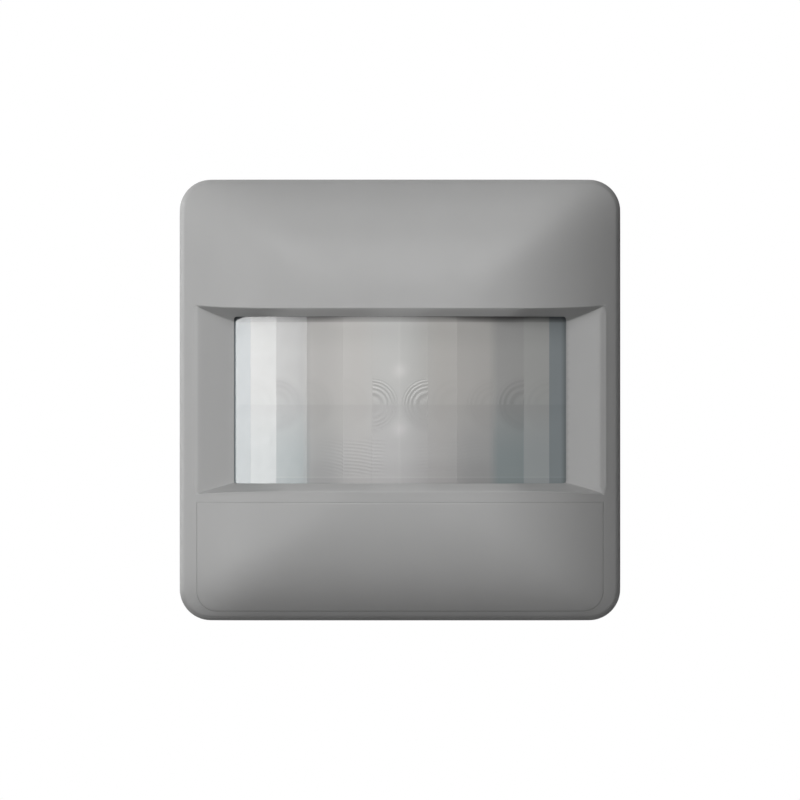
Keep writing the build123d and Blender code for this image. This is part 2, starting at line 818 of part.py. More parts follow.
with BuildPart() as board_socket:
    add(block(0, 0, block_width, block_side, power_front, socket_front))
    with BuildSketch(level(socket_front - pin_reach - pin_tip)):
        with GridLocations(pin_pitch, pin_pitch, pin_columns, pin_rows):
            Rectangle(socket_hole_side, socket_hole_side)
    extrude(amount=crown_height, mode=Mode.SUBTRACT)
save(board_socket, "board_socket")

with BuildPart() as relay:
    add(block(0, relay_z, relay_width, relay_side, -power_depth - relay_tall, -power_depth))
save(relay, "relay")

with BuildPart() as film_capacitor:
    add(block(0, film_z, film_width, film_side, -power_depth - film_tall, -power_depth))
save(film_capacitor, "film_capacitor")

with BuildPart() as filter_capacitor:
    can_place = [(filter_can_x, low_row_z)]
    add(pegs(can_place, filter_can_radius, -power_depth - filter_can_tall, -power_depth))
save(filter_capacitor, "filter_capacitor")

with BuildPart() as fuse:
    add(pegs([(fuse_x, low_row_z)], fuse_radius, -power_depth - fuse_tall, -power_depth))
save(fuse, "fuse")

with BuildPart() as varistor:
    with BuildSketch(Plane.XY.offset(low_row_z)):
        with Locations((varistor_x, power_depth + lead_gap + varistor_radius)):
            Circle(varistor_radius)
    extrude(amount=varistor_sheet / 2, both=True)
    lead_places = [(varistor_x + side * lead_pitch / 2, low_row_z) for side in (-1, 1)]
    add(pegs(lead_places, lead_radius, -power_depth - lead_gap - varistor_radius, -power_depth))
save(varistor, "varistor")

# Terminals: a block with three cage clamps, whose screws are reached from below
terminal_floor = -terminal_z - terminal_side / 2
clamp_floor = -terminal_z - clamp_side / 2
with BuildPart() as terminal_block:
    add(block(0, -terminal_z, terminal_width, terminal_side, terminal_back, terminal_front))
    add(pegs(terminal_places, wire_radius, terminal_back - overrun, terminal_front), mode=Mode.SUBTRACT)
    with BuildSketch(level(clamp_back)):
        with Locations(*terminal_places):
            Rectangle(clamp_side + 2 * fit_gap, clamp_side + 2 * fit_gap)
    extrude(amount=terminal_depth, mode=Mode.SUBTRACT)
    add(rods(driver_bore, terminal_floor - overrun, -terminal_z), mode=Mode.SUBTRACT)
save(terminal_block, "terminal_block")

with BuildPart() as terminal_clamps:
    with BuildSketch(level(clamp_back)):
        with Locations(*terminal_places):
            Rectangle(clamp_side, clamp_side)
    extrude(amount=clamp_depth)
    clamp_front = clamp_back + clamp_depth
    add(pegs(terminal_places, clamp_bore, clamp_back - overrun, clamp_front + overrun), mode=Mode.SUBTRACT)
    add(rods(clamp_screw_radius, clamp_floor - overrun, -terminal_z), mode=Mode.SUBTRACT)
    with BuildSketch(level(clamp_front)):
        with Locations(*[(x, z + clamp_tail_rise) for x, z in terminal_places]):
            Rectangle(clamp_tail_width, clamp_tail_sheet)
    extrude(amount=-power_depth - clamp_front)
save(terminal_clamps, "terminal_clamps")

with BuildPart() as terminal_screws:
    add(rods(clamp_screw_head, clamp_floor - clamp_screw_head_tall, clamp_floor))
    add(rods(clamp_screw_radius, clamp_floor, -terminal_z - wire_radius))
    with BuildSketch(Plane.XY.offset(clamp_floor - clamp_screw_head_tall - overrun)):
        with Locations(*[(x, -clamp_middle) for x, _ in terminal_places]):
            Rectangle(2 * clamp_screw_head, screw_recess_depth)
    extrude(amount=overrun + screw_recess_depth, mode=Mode.SUBTRACT)
save(terminal_screws, "terminal_screws")

# Back cover of the insert
with BuildPart() as back_cover:
    add(slab(insert_outline(0), back_height, -insert_depth))
    add(pegs(back_screw_places, back_screw_radius + fit_gap, back_height, -insert_depth), mode=Mode.SUBTRACT)
    add(pegs(terminal_places, clamp_bore + fit_gap, back_height, -insert_depth), mode=Mode.SUBTRACT)
save(back_cover, "back_cover")

back_screws = screws(
    back_screw_places, back_screw_radius, back_screw_head, back_screw_head_tall, back_height, back_screw_tip
)
save(back_screws, "back_screws")
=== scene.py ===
"""Looks of a motion sensor light switch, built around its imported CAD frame.

The domed cover, its lid and the curved lens are modelled here as finished shells. Every other piece
keeps its CAD solid and gets its finish. Sizes in the classes are in millimetres, heights are
stand-offs from the wall, and the meshes are made in metres in the frame's own axes.
"""

import json
import logging
import math
from dataclasses import dataclass, field
from enum import Enum
from typing import Callable, Iterable, Sequence

import bmesh
import bpy
from mathutils import Matrix, Vector
from mathutils.geometry import delaunay_2d_cdt
from mathutils.geometry import normal as face_normal
from mathutils.kdtree import KDTree

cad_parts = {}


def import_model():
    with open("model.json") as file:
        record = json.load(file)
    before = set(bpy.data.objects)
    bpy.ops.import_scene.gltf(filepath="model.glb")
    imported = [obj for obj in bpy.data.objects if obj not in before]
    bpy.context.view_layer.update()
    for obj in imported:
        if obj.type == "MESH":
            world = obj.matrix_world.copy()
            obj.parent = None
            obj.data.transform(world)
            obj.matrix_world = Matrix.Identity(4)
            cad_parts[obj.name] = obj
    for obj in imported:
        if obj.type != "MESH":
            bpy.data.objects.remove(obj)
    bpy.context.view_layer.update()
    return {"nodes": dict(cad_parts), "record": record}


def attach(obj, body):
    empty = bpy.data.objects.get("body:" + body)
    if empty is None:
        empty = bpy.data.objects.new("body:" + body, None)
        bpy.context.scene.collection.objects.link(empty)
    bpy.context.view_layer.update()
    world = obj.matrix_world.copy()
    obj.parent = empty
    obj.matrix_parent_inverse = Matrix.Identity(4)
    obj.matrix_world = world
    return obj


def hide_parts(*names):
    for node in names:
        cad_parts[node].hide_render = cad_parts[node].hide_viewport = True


LOG = logging.getLogger("switch")
MM = 0.001
# Colour attribute that carries each shell's tone with its painted light and shade.
TONE_AND_PAINTED_LIGHT = "shade"
Point = tuple[float, float]
Colour = tuple[float, float, float]
Height = Callable[[float, float], float]


# Curves and heights

CORNER_TURNS = 14
SQUARE_TURNS = ((-1, -1), (1, -1), (1, 1), (-1, 1))


def soft_min(a: float, b: float, width: float) -> float:
    """The lower of two heights, with the corner between them rounded over this width."""
    overlap = max(width - abs(a - b), 0.0) / width
    return min(a, b) - overlap * overlap * width / 4


def soft_max(a: float, b: float, width: float) -> float:
    """The higher of two heights, with the corner between them rounded over this width."""
    return -soft_min(-a, -b, width)


def smooth(share: float) -> float:
    """A share from 0 to 1 with soft ends."""
    share = min(max(share, 0.0), 1.0)
    return share * share * (3 - 2 * share)


def hump(away: float, wide: float) -> float:
    """A soft hump: 1 at no distance, and less over this width."""
    return math.exp(-((away / wide) ** 2))


@dataclass(frozen=True)
class Fade:
    """A change that comes in from a place on, over a run."""

    depth: float
    start: float
    run: float

    def soft(self, place: float) -> float:
        """The change at a place, with soft ends."""
        return self.depth * smooth((place - self.start) / self.run)

    def even(self, place: float) -> float:
        """The change at a place, in an even slope."""
        return self.depth * min(max((place - self.start) / self.run, 0.0), 1.0)


def rounded_rectangle(wide: float, tall: float, radii: Sequence[float], step: float) -> list[Point]:
    """Points round a rectangle with its own radius at each corner.

    Args:
        wide: full width.
        tall: full height.
        radii: corner radii, from the upper right one on against the clock.
        step: spacing along the straight sides.

    Returns:
        The closed outline's points about the middle, without the repeated first one.
    """
    points: list[Point] = []
    centres = [(1, 1), (-1, 1), (-1, -1), (1, -1)]
    for index, ((sx, sz), radius) in enumerate(zip(centres, radii)):
        cx, cz = sx * (wide / 2 - radius), sz * (tall / 2 - radius)
        turns = CORNER_TURNS if radius > 0 else 0
        for turn in range(turns + 1):
            angle = math.pi / 2 * (index + turn / CORNER_TURNS)
            points.append((cx + radius * math.cos(angle), cz + radius * math.sin(angle)))
    closed: list[Point] = []
    for start, end in zip(points, points[1:] + points[:1]):
        closed.extend(divided(start, end, step)[:-1])
    return closed


def divided(start: Point, end: Point, step: float) -> list[Point]:
    """Cut a straight run into equal parts.

    Args:
        start: the run's first point.
        end: its last point.
        step: about how long each part is.

    Returns:
        The points from the first to the last.
    """
    (ax, az), (bx, bz) = start, end
    count = max(1, round(math.dist(start, end) / step))
    return [(ax + (bx - ax) * i / count, az + (bz - az) * i / count) for i in range(count + 1)]


def shifted(points: Iterable[Point], dx: float, dz: float) -> list[Point]:
    """The same points, moved."""
    return [(x + dx, z + dz) for x, z in points]


def inside(point: Point, loop: Sequence[Point]) -> bool:
    """Whether a point lies inside a closed loop.

    Args:
        point: the point.
        loop: the closed loop's points.

    Returns:
        True for a point inside.
    """
    x, z = point
    crossings = 0
    for (ax, az), (bx, bz) in zip(loop, list(loop[1:]) + [loop[0]]):
        if (az > z) != (bz > z) and x < ax + (z - az) * (bx - ax) / (bz - az):
            crossings += 1
    return crossings % 2 == 1


@dataclass(frozen=True)
class Dome:
    """The domed face that the cover and the lid share."""

    half: float = 35.5
    crown: float = 24.0
    side_drop: float = 12.6
    top_drop: float = 11.6
    side_power: float = 3.6
    top_power: float = 5.5
    blend_power: float = 2.5

    def height(self, x: float, z: float) -> float:
        """Stand-off of the face from the wall.

        Args:
            x: place across.
            z: place up.

        Returns:
            The height there.
        """
        side = self.side_drop * (abs(x) / self.half) ** self.side_power
        top = self.top_drop * (abs(z) / self.half) ** self.top_power
        return self.crown - (side**self.blend_power + top**self.blend_power) ** (1 / self.blend_power)


@dataclass(frozen=True)
class LensArc:
    """The lens's round face, seen from above, and the opening that it shows in."""

    dome: Dome = field(default_factory=Dome)
    wide: float = 53.4
    tall: float = 26.8
    recess: float = 1.5
    lip: float = 0.3
    window_half: float = 32.7

    @property
    def floor(self) -> float:
        """Height of the flat areas beside the lens."""
        return self.dome.height(self.window_half, 0)

    @property
    def crown(self) -> float:
        """Height of the lens's front in the middle."""
        return self.dome.crown - self.recess

    @property
    def radius(self) -> float:
        """Radius of the lens's front."""
        sag = self.crown - self.floor + self.lip
        return ((self.wide / 2) ** 2 + sag**2) / (2 * sag)

    def front(self, x: float, depth: float = 0.0) -> float:
        """Height of the lens's face at x, or of an arc this deep behind it."""
        return self.crown - self.radius + math.sqrt((self.radius - depth) ** 2 - x * x)


@dataclass(frozen=True)
class Window:
    """The recess round the lens: sloping walls above and below, and a flat area at each end."""

    arc: LensArc = field(default_factory=LensArc)
    middle: float = 29.2
    end: float = 30.3
    flare_power: float = 6.0
    wall_slope: float = 1.3
    end_slope: float = 5.0
    steep_from: float = 17.0
    steep_to: float = 26.0
    corner_reach: float = 6.7
    upper_sink: float = 0.65
    mitre_power: float = 1.12
    rim_round: float = 0.4
    side_round: float = 0.8
    foot_round: float = 0.5
    bead: float = 0.04
    bead_wide: float = 0.14
    side_bead: float = 0.07
    side_wide: float = 0.2
    side_place: float = 0.45
    bead_place: float = 0.12
    reach: float = 1.5
    end_margin: float = 0.8
    opening_margin: float = 0.05
    least_run: float = 0.01

    def edge(self, x: float) -> float:
        """Half the window's height at its front edge."""
        share = min(abs(x) / self.arc.window_half, 1.0) ** self.flare_power
        return (self.middle + share * (self.end - self.middle)) / 2

    def foot(self, x: float, z: float) -> Point:
        """Where the wall stands: its distance from the middle line, and its height.

        Args:
            x: place across.
            z: place up; its sign tells the upper wall from the lower one.

        Returns:
            The wall's distance from the middle line, and its height.
        """
        half_lens = self.arc.wide / 2
        sink = self.upper_sink if z > 0 else 0.0
        if abs(x) <= half_lens:
            share = smooth((abs(x) - half_lens + self.corner_reach) / self.corner_reach)
            return self.arc.tall / 2 - sink * share, self.arc.front(x) + self.arc.lip
        share = min((abs(x) - half_lens) / (self.arc.window_half - half_lens), 1.0)
        start = self.arc.tall / 2 - sink
        return start + share**self.mitre_power * (self.end / 2 - start), self.arc.floor

    def slope(self, x: float, z: float) -> float:
        """Rise of the wall per unit of run.

        Args:
            x: place across.
            z: place up.

        Returns:
            The slope there.
        """
        if abs(x) >= self.arc.window_half:
            return self.end_slope
        foot_z, foot_height = self.foot(x, z)
        run = self.edge(x) - foot_z
        rise = self.arc.dome.height(x, self.edge(x)) - foot_height
        share = smooth((abs(x) - self.steep_from) / (self.steep_to - self.steep_from))
        steepest = self.wall_slope + (self.end_slope - self.wall_slope) * share
        return min(max(rise, 0.0) / max(run, self.least_run), steepest)

    def height(self, x: float, z: float) -> float:
        """Height of the recess's own surfaces, which pass the domed face outside the window.

        Args:
            x: place across.
            z: place up.

        Returns:
            The height there.
        """
        foot_z, foot_height = self.foot(x, z)
        slope = self.slope(x, z)
        if abs(x) < self.arc.wide / 2 - self.opening_margin:
            return self.arc.dome.height(x, self.edge(x)) - (self.edge(x) - abs(z)) * slope
        return soft_max(foot_height, foot_height + (abs(z) - foot_z) * slope, self.foot_round)

    def cut(self, x: float, z: float, face: float) -> float:
        """The domed face's height once the window is cut into it, with its rims rounded.

        Args:
            x: place across.
            z: place up.
            face: height of the domed face there.

        Returns:
            The height with the window.
        """
        half = self.arc.window_half
        if abs(x) > half + self.reach or abs(z) > self.end / 2 + self.reach:
            return face
        beside = abs(x) > half - self.reach and abs(z) < self.end / 2 - self.end_margin
        cut = soft_min(face, self.height(x, z), self.side_round if beside else self.rim_round)
        if abs(x) > half:
            fade = smooth((self.end / 2 - abs(z)) / self.reach)
            return cut + self.side_bead * fade * hump(abs(x) - half - self.side_place, self.side_wide)
        fade = smooth((half - abs(x)) / self.reach)
        return cut + self.bead * fade * hump(abs(z) - self.edge(x) - self.bead_place, self.bead_wide)


# Shells drawn from outlines and heights

SLOPE_STEP = 0.02
SAME_PLACE = 1e-5
LIKENESS = 0.9


def linked(name: str, data: bpy.types.ID) -> bpy.types.Object:
    """A new object in the scene with this data.

    Args:
        name: the object's name.
        data: its mesh, lamp or camera.

    Returns:
        The new object.
    """
    thing = bpy.data.objects.new(name, data)
    bpy.context.scene.collection.objects.link(thing)
    return thing


def surface_normal(surface: Height, x: float, z: float, sign: float) -> Vector:
    """The normal of a surface given by its heights.

    Args:
        surface: its height at x and z.
        x: place across.
        z: place up.
        sign: 1 for a front, -1 for an inner side.

    Returns:
        The normal in the frame's axes.
    """
    dx = (surface(x + SLOPE_STEP, z) - surface(x - SLOPE_STEP, z)) / (2 * SLOPE_STEP)
    dz = (surface(x, z + SLOPE_STEP) - surface(x, z - SLOPE_STEP)) / (2 * SLOPE_STEP)
    return Vector((-dx, -1.0, -dz)).normalized() * sign


def shell_piece(name: str, vertices: list, faces: list, normals: list[Vector]) -> bpy.types.Object:
    """Make a piece whose faces' corners have normals of their own.

    Args:
        name: the piece's name.
        vertices: its points in metres.
        faces: its faces, as point numbers.
        normals: one normal for each corner of each face.

    Returns:
        The new object, linked to the scene.
    """
    mesh = bpy.data.meshes.new(name)
    mesh.from_pydata(vertices, [], faces)
    mesh.polygons.foreach_set("use_smooth", [True] * len(mesh.polygons))
    mesh.normals_split_custom_set(normals)
    mesh.validate()
    return linked(name, mesh)


@dataclass
class Shell:
    """A closed shell over a flat outline, from a height above and a height below.

    The outline is filled with a fine net that keeps every guide line, so edges stay crisp.
    """

    name: str
    top: Height
    bottom: Height
    outer: list[Point]
    holes: list[list[Point]] = field(default_factory=list)
    guides: list[list[Point]] = field(default_factory=list)
    loops: list[list[Point]] = field(default_factory=list)
    spacing: float = 0.7
    clear: float = 0.28

    def lines(self) -> tuple[list[Point], list[tuple[int, int]]]:
        """Every outline and guide as points and edges.

        Returns:
            The points, and the edges as pairs of point numbers.
        """
        points: list[Point] = []
        edges: list[tuple[int, int]] = []
        for loop in [self.outer, *self.holes, *self.loops]:
            start = len(points)
            points.extend(loop)
            count = len(loop)
            edges.extend((start + i, start + (i + 1) % count) for i in range(count))
        for line in self.guides:
            start = len(points)
            points.extend(line)
            edges.extend((start + i, start + i + 1) for i in range(len(line) - 1))
        return points, edges

    def net(self) -> tuple[list[Point], list[tuple[int, ...]]]:
        """Fill the outline, less its holes, with triangles.

        Returns:
            The points, and the triangles as point numbers.
        """
        points, edges = self.lines()
        tree = KDTree(len(points))
        for index, (x, z) in enumerate(points):
            tree.insert((x, z, 0), index)
        tree.balance()
        xs = [x for x, _ in self.outer]
        zs = [z for _, z in self.outer]
        columns = int((max(xs) - min(xs)) / self.spacing)
        rows = int((max(zs) - min(zs)) / self.spacing)
        for row in range(1, rows):
            for column in range(1, columns):
                x = min(xs) + (column + (row % 2) / 2) * (max(xs) - min(xs)) / columns
                z = min(zs) + row * (max(zs) - min(zs)) / rows
                if tree.find((x, z, 0))[2] > self.clear and inside((x, z), self.outer):
                    if not any(inside((x, z), hole) for hole in self.holes):
                        points.append((x, z))
        filled = delaunay_2d_cdt([Vector(p) for p in points], edges, [], 0, SAME_PLACE)
        places = [(v.x, v.y) for v in filled[0]]
        faces = []
        for face in filled[2]:
            middle = (
                sum(places[i][0] for i in face) / len(face),
                sum(places[i][1] for i in face) / len(face),
            )
            if inside(middle, self.outer) and not any(inside(middle, hole) for hole in self.holes):
                faces.append(tuple(face))
        return places, faces

    def build(self) -> bpy.types.Object:
        """Make the shell's mesh with true normals on its faces.

        Returns:
            The new object, linked to the scene.
        """
        places, faces = self.net()
        count = len(places)
        vertices = [(x * MM, -self.top(x, z) * MM, z * MM) for x, z in places]
        vertices += [(x * MM, -self.bottom(x, z) * MM, z * MM) for x, z in places]
        upper, lower, seen = [], [], {}
        for a, b, c in faces:
            (ax, az), (bx, bz), (cx, cz) = places[a], places[b], places[c]
            if (bx - ax) * (cz - az) - (bz - az) * (cx - ax) < 0:
                b, c = c, b
            upper.append((a, b, c))
            lower.append((c + count, b + count, a + count))
            for edge in ((a, b), (b, c), (c, a)):
                seen[edge] = True
        rims = [edge for edge in seen if (edge[1], edge[0]) not in seen]
        walls = [(b, a, a + count, b + count) for a, b in rims]
        tops = [surface_normal(self.top, x, z, 1.0) for x, z in places]
        bottoms = [surface_normal(self.bottom, x, z, -1.0) for x, z in places]
        sides: dict[int, Vector] = {}
        for a, b in rims:
            (ax, az), (bx, bz) = places[a], places[b]
            across = Vector((bz - az, 0.0, ax - bx)).normalized()
            for end in (a, b):
                sides[end] = sides.get(end, Vector()) + across
        normals = [tops[i] for face in upper for i in face]
        for face in lower:
            own = face_normal([Vector(vertices[i]) for i in face])
            normals.extend(n if n.dot(own) > LIKENESS else own for n in (bottoms[i - count] for i in face))
        normals += [sides[i % count].normalized() for face in walls for i in face]
        return shell_piece(self.name, vertices, upper + lower + walls, normals)


@dataclass
class GridShell:
    """A closed shell over a rectangular net of columns and rows.

    Its normals follow a smooth height of their own, so a step at its border stays crisp.
    """

    name: str
    top: Height
    bottom: Height
    columns: list[float]
    rows: list[float]
    slopes: Height

    def build(self) -> bpy.types.Object:
        """Make the shell's mesh with true normals on its faces.

        Returns:
            The new object, linked to the scene.
        """
        wide, tall = len(self.columns), len(self.rows)
        places = [(x, z) for z in self.rows for x in self.columns]
        count = len(places)
        vertices = [(x * MM, -self.top(x, z) * MM, z * MM) for x, z in places]
        vertices += [(x * MM, -self.bottom(x, z) * MM, z * MM) for x, z in places]
        starts = [row * wide + column for row in range(tall - 1) for column in range(wide - 1)]
        upper = [(i, i + 1, i + wide + 1, i + wide) for i in starts]
        lower = [tuple(reversed([i + count for i in face])) for face in upper]
        rim = list(range(wide))
        rim += [row * wide + wide - 1 for row in range(1, tall)]
        rim += [(tall - 1) * wide + column for column in range(wide - 2, -1, -1)]
        rim += [row * wide for row in range(tall - 2, 0, -1)]
        walls = [(b, a, a + count, b + count) for a, b in zip(rim, rim[1:] + rim[:1])]
        tops = [surface_normal(self.slopes, x, z, 1.0) for x, z in places]
        normals = [tops[i] for face in upper for i in face]
        normals += [-tops[i - count] for face in lower for i in face]
        for a, b, *_ in walls:
            (ax, az), (bx, bz) = places[b], places[a]
            normals += [Vector((bz - az, 0.0, ax - bx)).normalized()] * 4
        return shell_piece(self.name, vertices, upper + lower + walls, normals)


# Finishes

NOISE_RANGE = (0.3, 0.7)
Socket = bpy.types.NodeSocket


class Tree:
    """A new material's node tree, with short calls that add and join its nodes."""

    def __init__(self, name: str) -> None:
        """Start from a principled shader alone.

        Args:
            name: the material's name.
        """
        self.material = bpy.data.materials.new(name)
        self.material.use_nodes = True
        self.nodes = self.material.node_tree.nodes
        self.shader = self.nodes["Principled BSDF"]
        place = self.nodes.new("ShaderNodeTexCoord")
        self.place = place.outputs["Object"]

    def set(self, **values: object) -> None:
        """Set the shader's own sockets, with spaces in their names written as underscores."""
        for name, value in values.items():
            self.shader.inputs[name.replace("_", " ")].default_value = value

    def link(self, output: Socket, socket: Socket) -> None:
        """Join an output to an input."""
        self.material.node_tree.links.new(output, socket)

    def noise(self, scale: float, detail: float = 3.0, stretch: Sequence[float] = (1, 1, 1)) -> Socket:
        """Noise in the piece's own space.

        Args:
            scale: cells per metre.
            detail: finer layers on top.
            stretch: scale of each axis.

        Returns:
            The noise's value.
        """
        mapping = self.nodes.new("ShaderNodeMapping")
        mapping.inputs["Scale"].default_value = stretch
        noise = self.nodes.new("ShaderNodeTexNoise")
        noise.inputs["Scale"].default_value = scale
        noise.inputs["Detail"].default_value = detail
        self.link(self.place, mapping.inputs["Vector"])
        self.link(mapping.outputs["Vector"], noise.inputs["Vector"])
        return noise.outputs["Fac"]

    def ramp(self, value: Socket, stops: Sequence[tuple[float, Sequence[float]]]) -> Socket:
        """A colour that follows a value through these stops.

        Args:
            value: what it follows.
            stops: values with their colours.

        Returns:
            The colour.
        """
        ramp = self.nodes.new("ShaderNodeValToRGB")
        band = ramp.color_ramp
        while len(band.elements) < len(stops):
            band.elements.new(0.5)
        for element, (position, colour) in zip(band.elements, stops):
            element.position = position
            element.color = (*colour, 1.0)
        self.link(value, ramp.inputs["Fac"])
        return ramp.outputs["Color"]

    def spread(self, value: Socket, low: float, high: float) -> Socket:
        """A value mapped from the middle of its noise range to a low and a high one.

        Args:
            value: the noise.
            low: value at its low end.
            high: value at its high end.

        Returns:
            The mapped value.
        """
        mapped = self.nodes.new("ShaderNodeMapRange")
        mapped.inputs["From Min"].default_value, mapped.inputs["From Max"].default_value = NOISE_RANGE
        mapped.inputs["To Min"].default_value = low
        mapped.inputs["To Max"].default_value = high
        self.link(value, mapped.inputs["Value"])
        return mapped.outputs["Result"]

    def with_painted_light(self, colour: Socket) -> Socket:
        """A colour times the tone and painted light and shade that the mesh carries.

        Args:
            colour: the finish's colour.

        Returns:
            The product.
        """
        shade = self.nodes.new("ShaderNodeAttribute")
        shade.attribute_name = TONE_AND_PAINTED_LIGHT
        mix = self.nodes.new("ShaderNodeMix")
        mix.data_type = "RGBA"
        mix.blend_type = "MULTIPLY"
        mix.inputs["Factor"].default_value = 1.0
        self.link(shade.outputs["Color"], mix.inputs[6])
        self.link(colour, mix.inputs[7])
        return mix.outputs[2]

    def bump(self, value: Socket, depth: float) -> None:
        """Raise the surface by a value.

        Args:
            value: the height's share.
            depth: the full height in metres.
        """
        bump = self.nodes.new("ShaderNodeBump")
        bump.inputs["Distance"].default_value = depth
        bump.inputs["Strength"].default_value = 1.0
        self.link(value, bump.inputs["Height"])
        self.link(bump.outputs["Normal"], self.shader.inputs["Normal"])


def tinted(colour: Sequence[float], share: float) -> tuple[float, ...]:
    """A colour made lighter or darker by a share of itself."""
    return tuple(min(1.0, channel * (1 + share)) for channel in colour)


def mottled(colour: Colour, darker: float, lighter: float) -> list[tuple[float, tuple[float, ...]]]:
    """Stops that run from a darker to a lighter tint of a colour over a noise's range."""
    return [(place, tinted(colour, share)) for place, share in zip(NOISE_RANGE, (-darker, lighter))]


@dataclass(frozen=True)
class Moulded:
    """Moulded plastic: a colour with faint flow marks, a fine grain and its gloss, and where asked the
    mesh's painted light and shade.
    """

    name: str
    colour: Colour
    rough: float = 0.45
    flow: float = 0.02
    flow_cells: float = 140.0
    flow_stretch: Sequence[float] = (1, 1, 0.5)
    rough_cells: float = 450.0
    rough_spread: float = 0.03
    grain: float = 0.000004
    grain_cells: float = 5000.0
    gloss_level: float = 0.5
    with_painted_light: bool = False

    def material(self) -> bpy.types.Material:
        """Make the finish's material.

        Returns:
            The material.
        """
        tree = Tree(self.name)
        flow = tree.noise(self.flow_cells, stretch=self.flow_stretch)
        colour = tree.ramp(flow, mottled(self.colour, self.flow, self.flow))
        tree.link(tree.with_painted_light(colour) if self.with_painted_light else colour, tree.shader.inputs["Base Color"])
        low, high = self.rough - self.rough_spread, self.rough + self.rough_spread
        tree.link(tree.spread(tree.noise(self.rough_cells), low, high), tree.shader.inputs["Roughness"])
        tree.bump(tree.noise(self.grain_cells, 2.0), self.grain)
        tree.set(Specular_IOR_Level=self.gloss_level)
        return tree.material


@dataclass(frozen=True)
class Metal:
    """Plated, drawn or polished metal, with fine streaks along one axis."""

    name: str
    colour: Colour
    rough: float = 0.3
    streak: Sequence[float] = (1.0, 1.0, 0.08)
    cells: float = 2600.0
    detail: float = 4.0
    darker: float = 0.12
    lighter: float = 0.08
    smoother: float = 0.06
    rougher: float = 0.1
    grain: float = 0.000006

    def material(self) -> bpy.types.Material:
        """Make the finish's material.

        Returns:
            The material.
        """
        tree = Tree(self.name)
        grain = tree.noise(self.cells, self.detail, self.streak)
        stops = ((0.25, tinted(self.colour, -self.darker)), (0.75, tinted(self.colour, self.lighter)))
        tree.link(tree.ramp(grain, stops), tree.shader.inputs["Base Color"])
        rough = tree.spread(grain, self.rough - self.smoother, self.rough + self.rougher)
        tree.link(rough, tree.shader.inputs["Roughness"])
        tree.bump(grain, self.grain)
        tree.set(Metallic=1.0)
        return tree.material


@dataclass(frozen=True)
class CircuitBoard:
    """Solder mask over copper tracks, which show as lighter lanes with square turns."""

    name: str
    mask: Colour = (0.012, 0.11, 0.045)
    track: Colour = (0.03, 0.2, 0.08)
    lanes: float = 210.0
    lane_share: float = 0.05
    change: float = 0.15
    copper: float = 0.00003
    rough: float = 0.28

    def material(self) -> bpy.types.Material:
        """Make the finish's material.

        Returns:
            The material.
        """
        tree = Tree(self.name)
        swap = tree.nodes.new("ShaderNodeMapping")
        swap.inputs["Rotation"].default_value = (math.pi / 2, 0.0, 0.0)
        bricks = tree.nodes.new("ShaderNodeTexBrick")
        bricks.inputs["Scale"].default_value = self.lanes
        bricks.inputs["Mortar Size"].default_value = self.lane_share
        bricks.inputs["Color1"].default_value = (*self.mask, 1.0)
        bricks.inputs["Color2"].default_value = (*tinted(self.mask, self.change), 1.0)
        bricks.inputs["Mortar"].default_value = (*self.track, 1.0)
        tree.link(tree.place, swap.inputs["Vector"])
        tree.link(swap.outputs["Vector"], bricks.inputs["Vector"])
        tree.link(bricks.outputs["Color"], tree.shader.inputs["Base Color"])
        tree.bump(bricks.outputs["Fac"], self.copper)
        tree.set(Roughness=self.rough)
        return tree.material


@dataclass(frozen=True)
class Clear:
    """Clear or tinted glass and epoxy."""

    name: str
    colour: Colour
    rough: float = 0.05
    index: float = 1.5
    passing: float = 0.9
    cells: float = 700.0
    darker: float = 0.05
    lighter: float = 0.03

    def material(self) -> bpy.types.Material:
        """Make the finish's material.

        Returns:
            The material.
        """
        tree = Tree(self.name)
        colour = tree.ramp(tree.noise(self.cells), mottled(self.colour, self.darker, self.lighter))
        tree.link(colour, tree.shader.inputs["Base Color"])
        tree.set(Roughness=self.rough, IOR=self.index, Transmission_Weight=self.passing)
        return tree.material


@dataclass(frozen=True)
class LensMilk:
    """The lens's milky sheet, whose strips carry their tint and painted light and shade in the mesh."""

    name: str
    rough: float = 0.18
    index: float = 1.54
    cloud_cells: float = 60.0
    cool: Colour = (0.985, 0.985, 0.99)
    warm: Colour = (1.0, 1.0, 0.995)
    rough_cells: float = 900.0
    smoother: float = 0.02
    rougher: float = 0.03

    def material(self) -> bpy.types.Material:
        """Make the finish's material.

        Returns:
            The material.
        """
        tree = Tree(self.name)
        cloud = tree.ramp(tree.noise(self.cloud_cells, 1.0), list(zip(NOISE_RANGE, (self.cool, self.warm))))
        tree.link(tree.with_painted_light(cloud), tree.shader.inputs["Base Color"])
        low, high = self.rough - self.smoother, self.rough + self.rougher
        tree.link(tree.spread(tree.noise(self.rough_cells), low, high), tree.shader.inputs["Roughness"])
        tree.set(IOR=self.index)
        return tree.material


Finish = Moulded | Metal | CircuitBoard | Clear | LensMilk

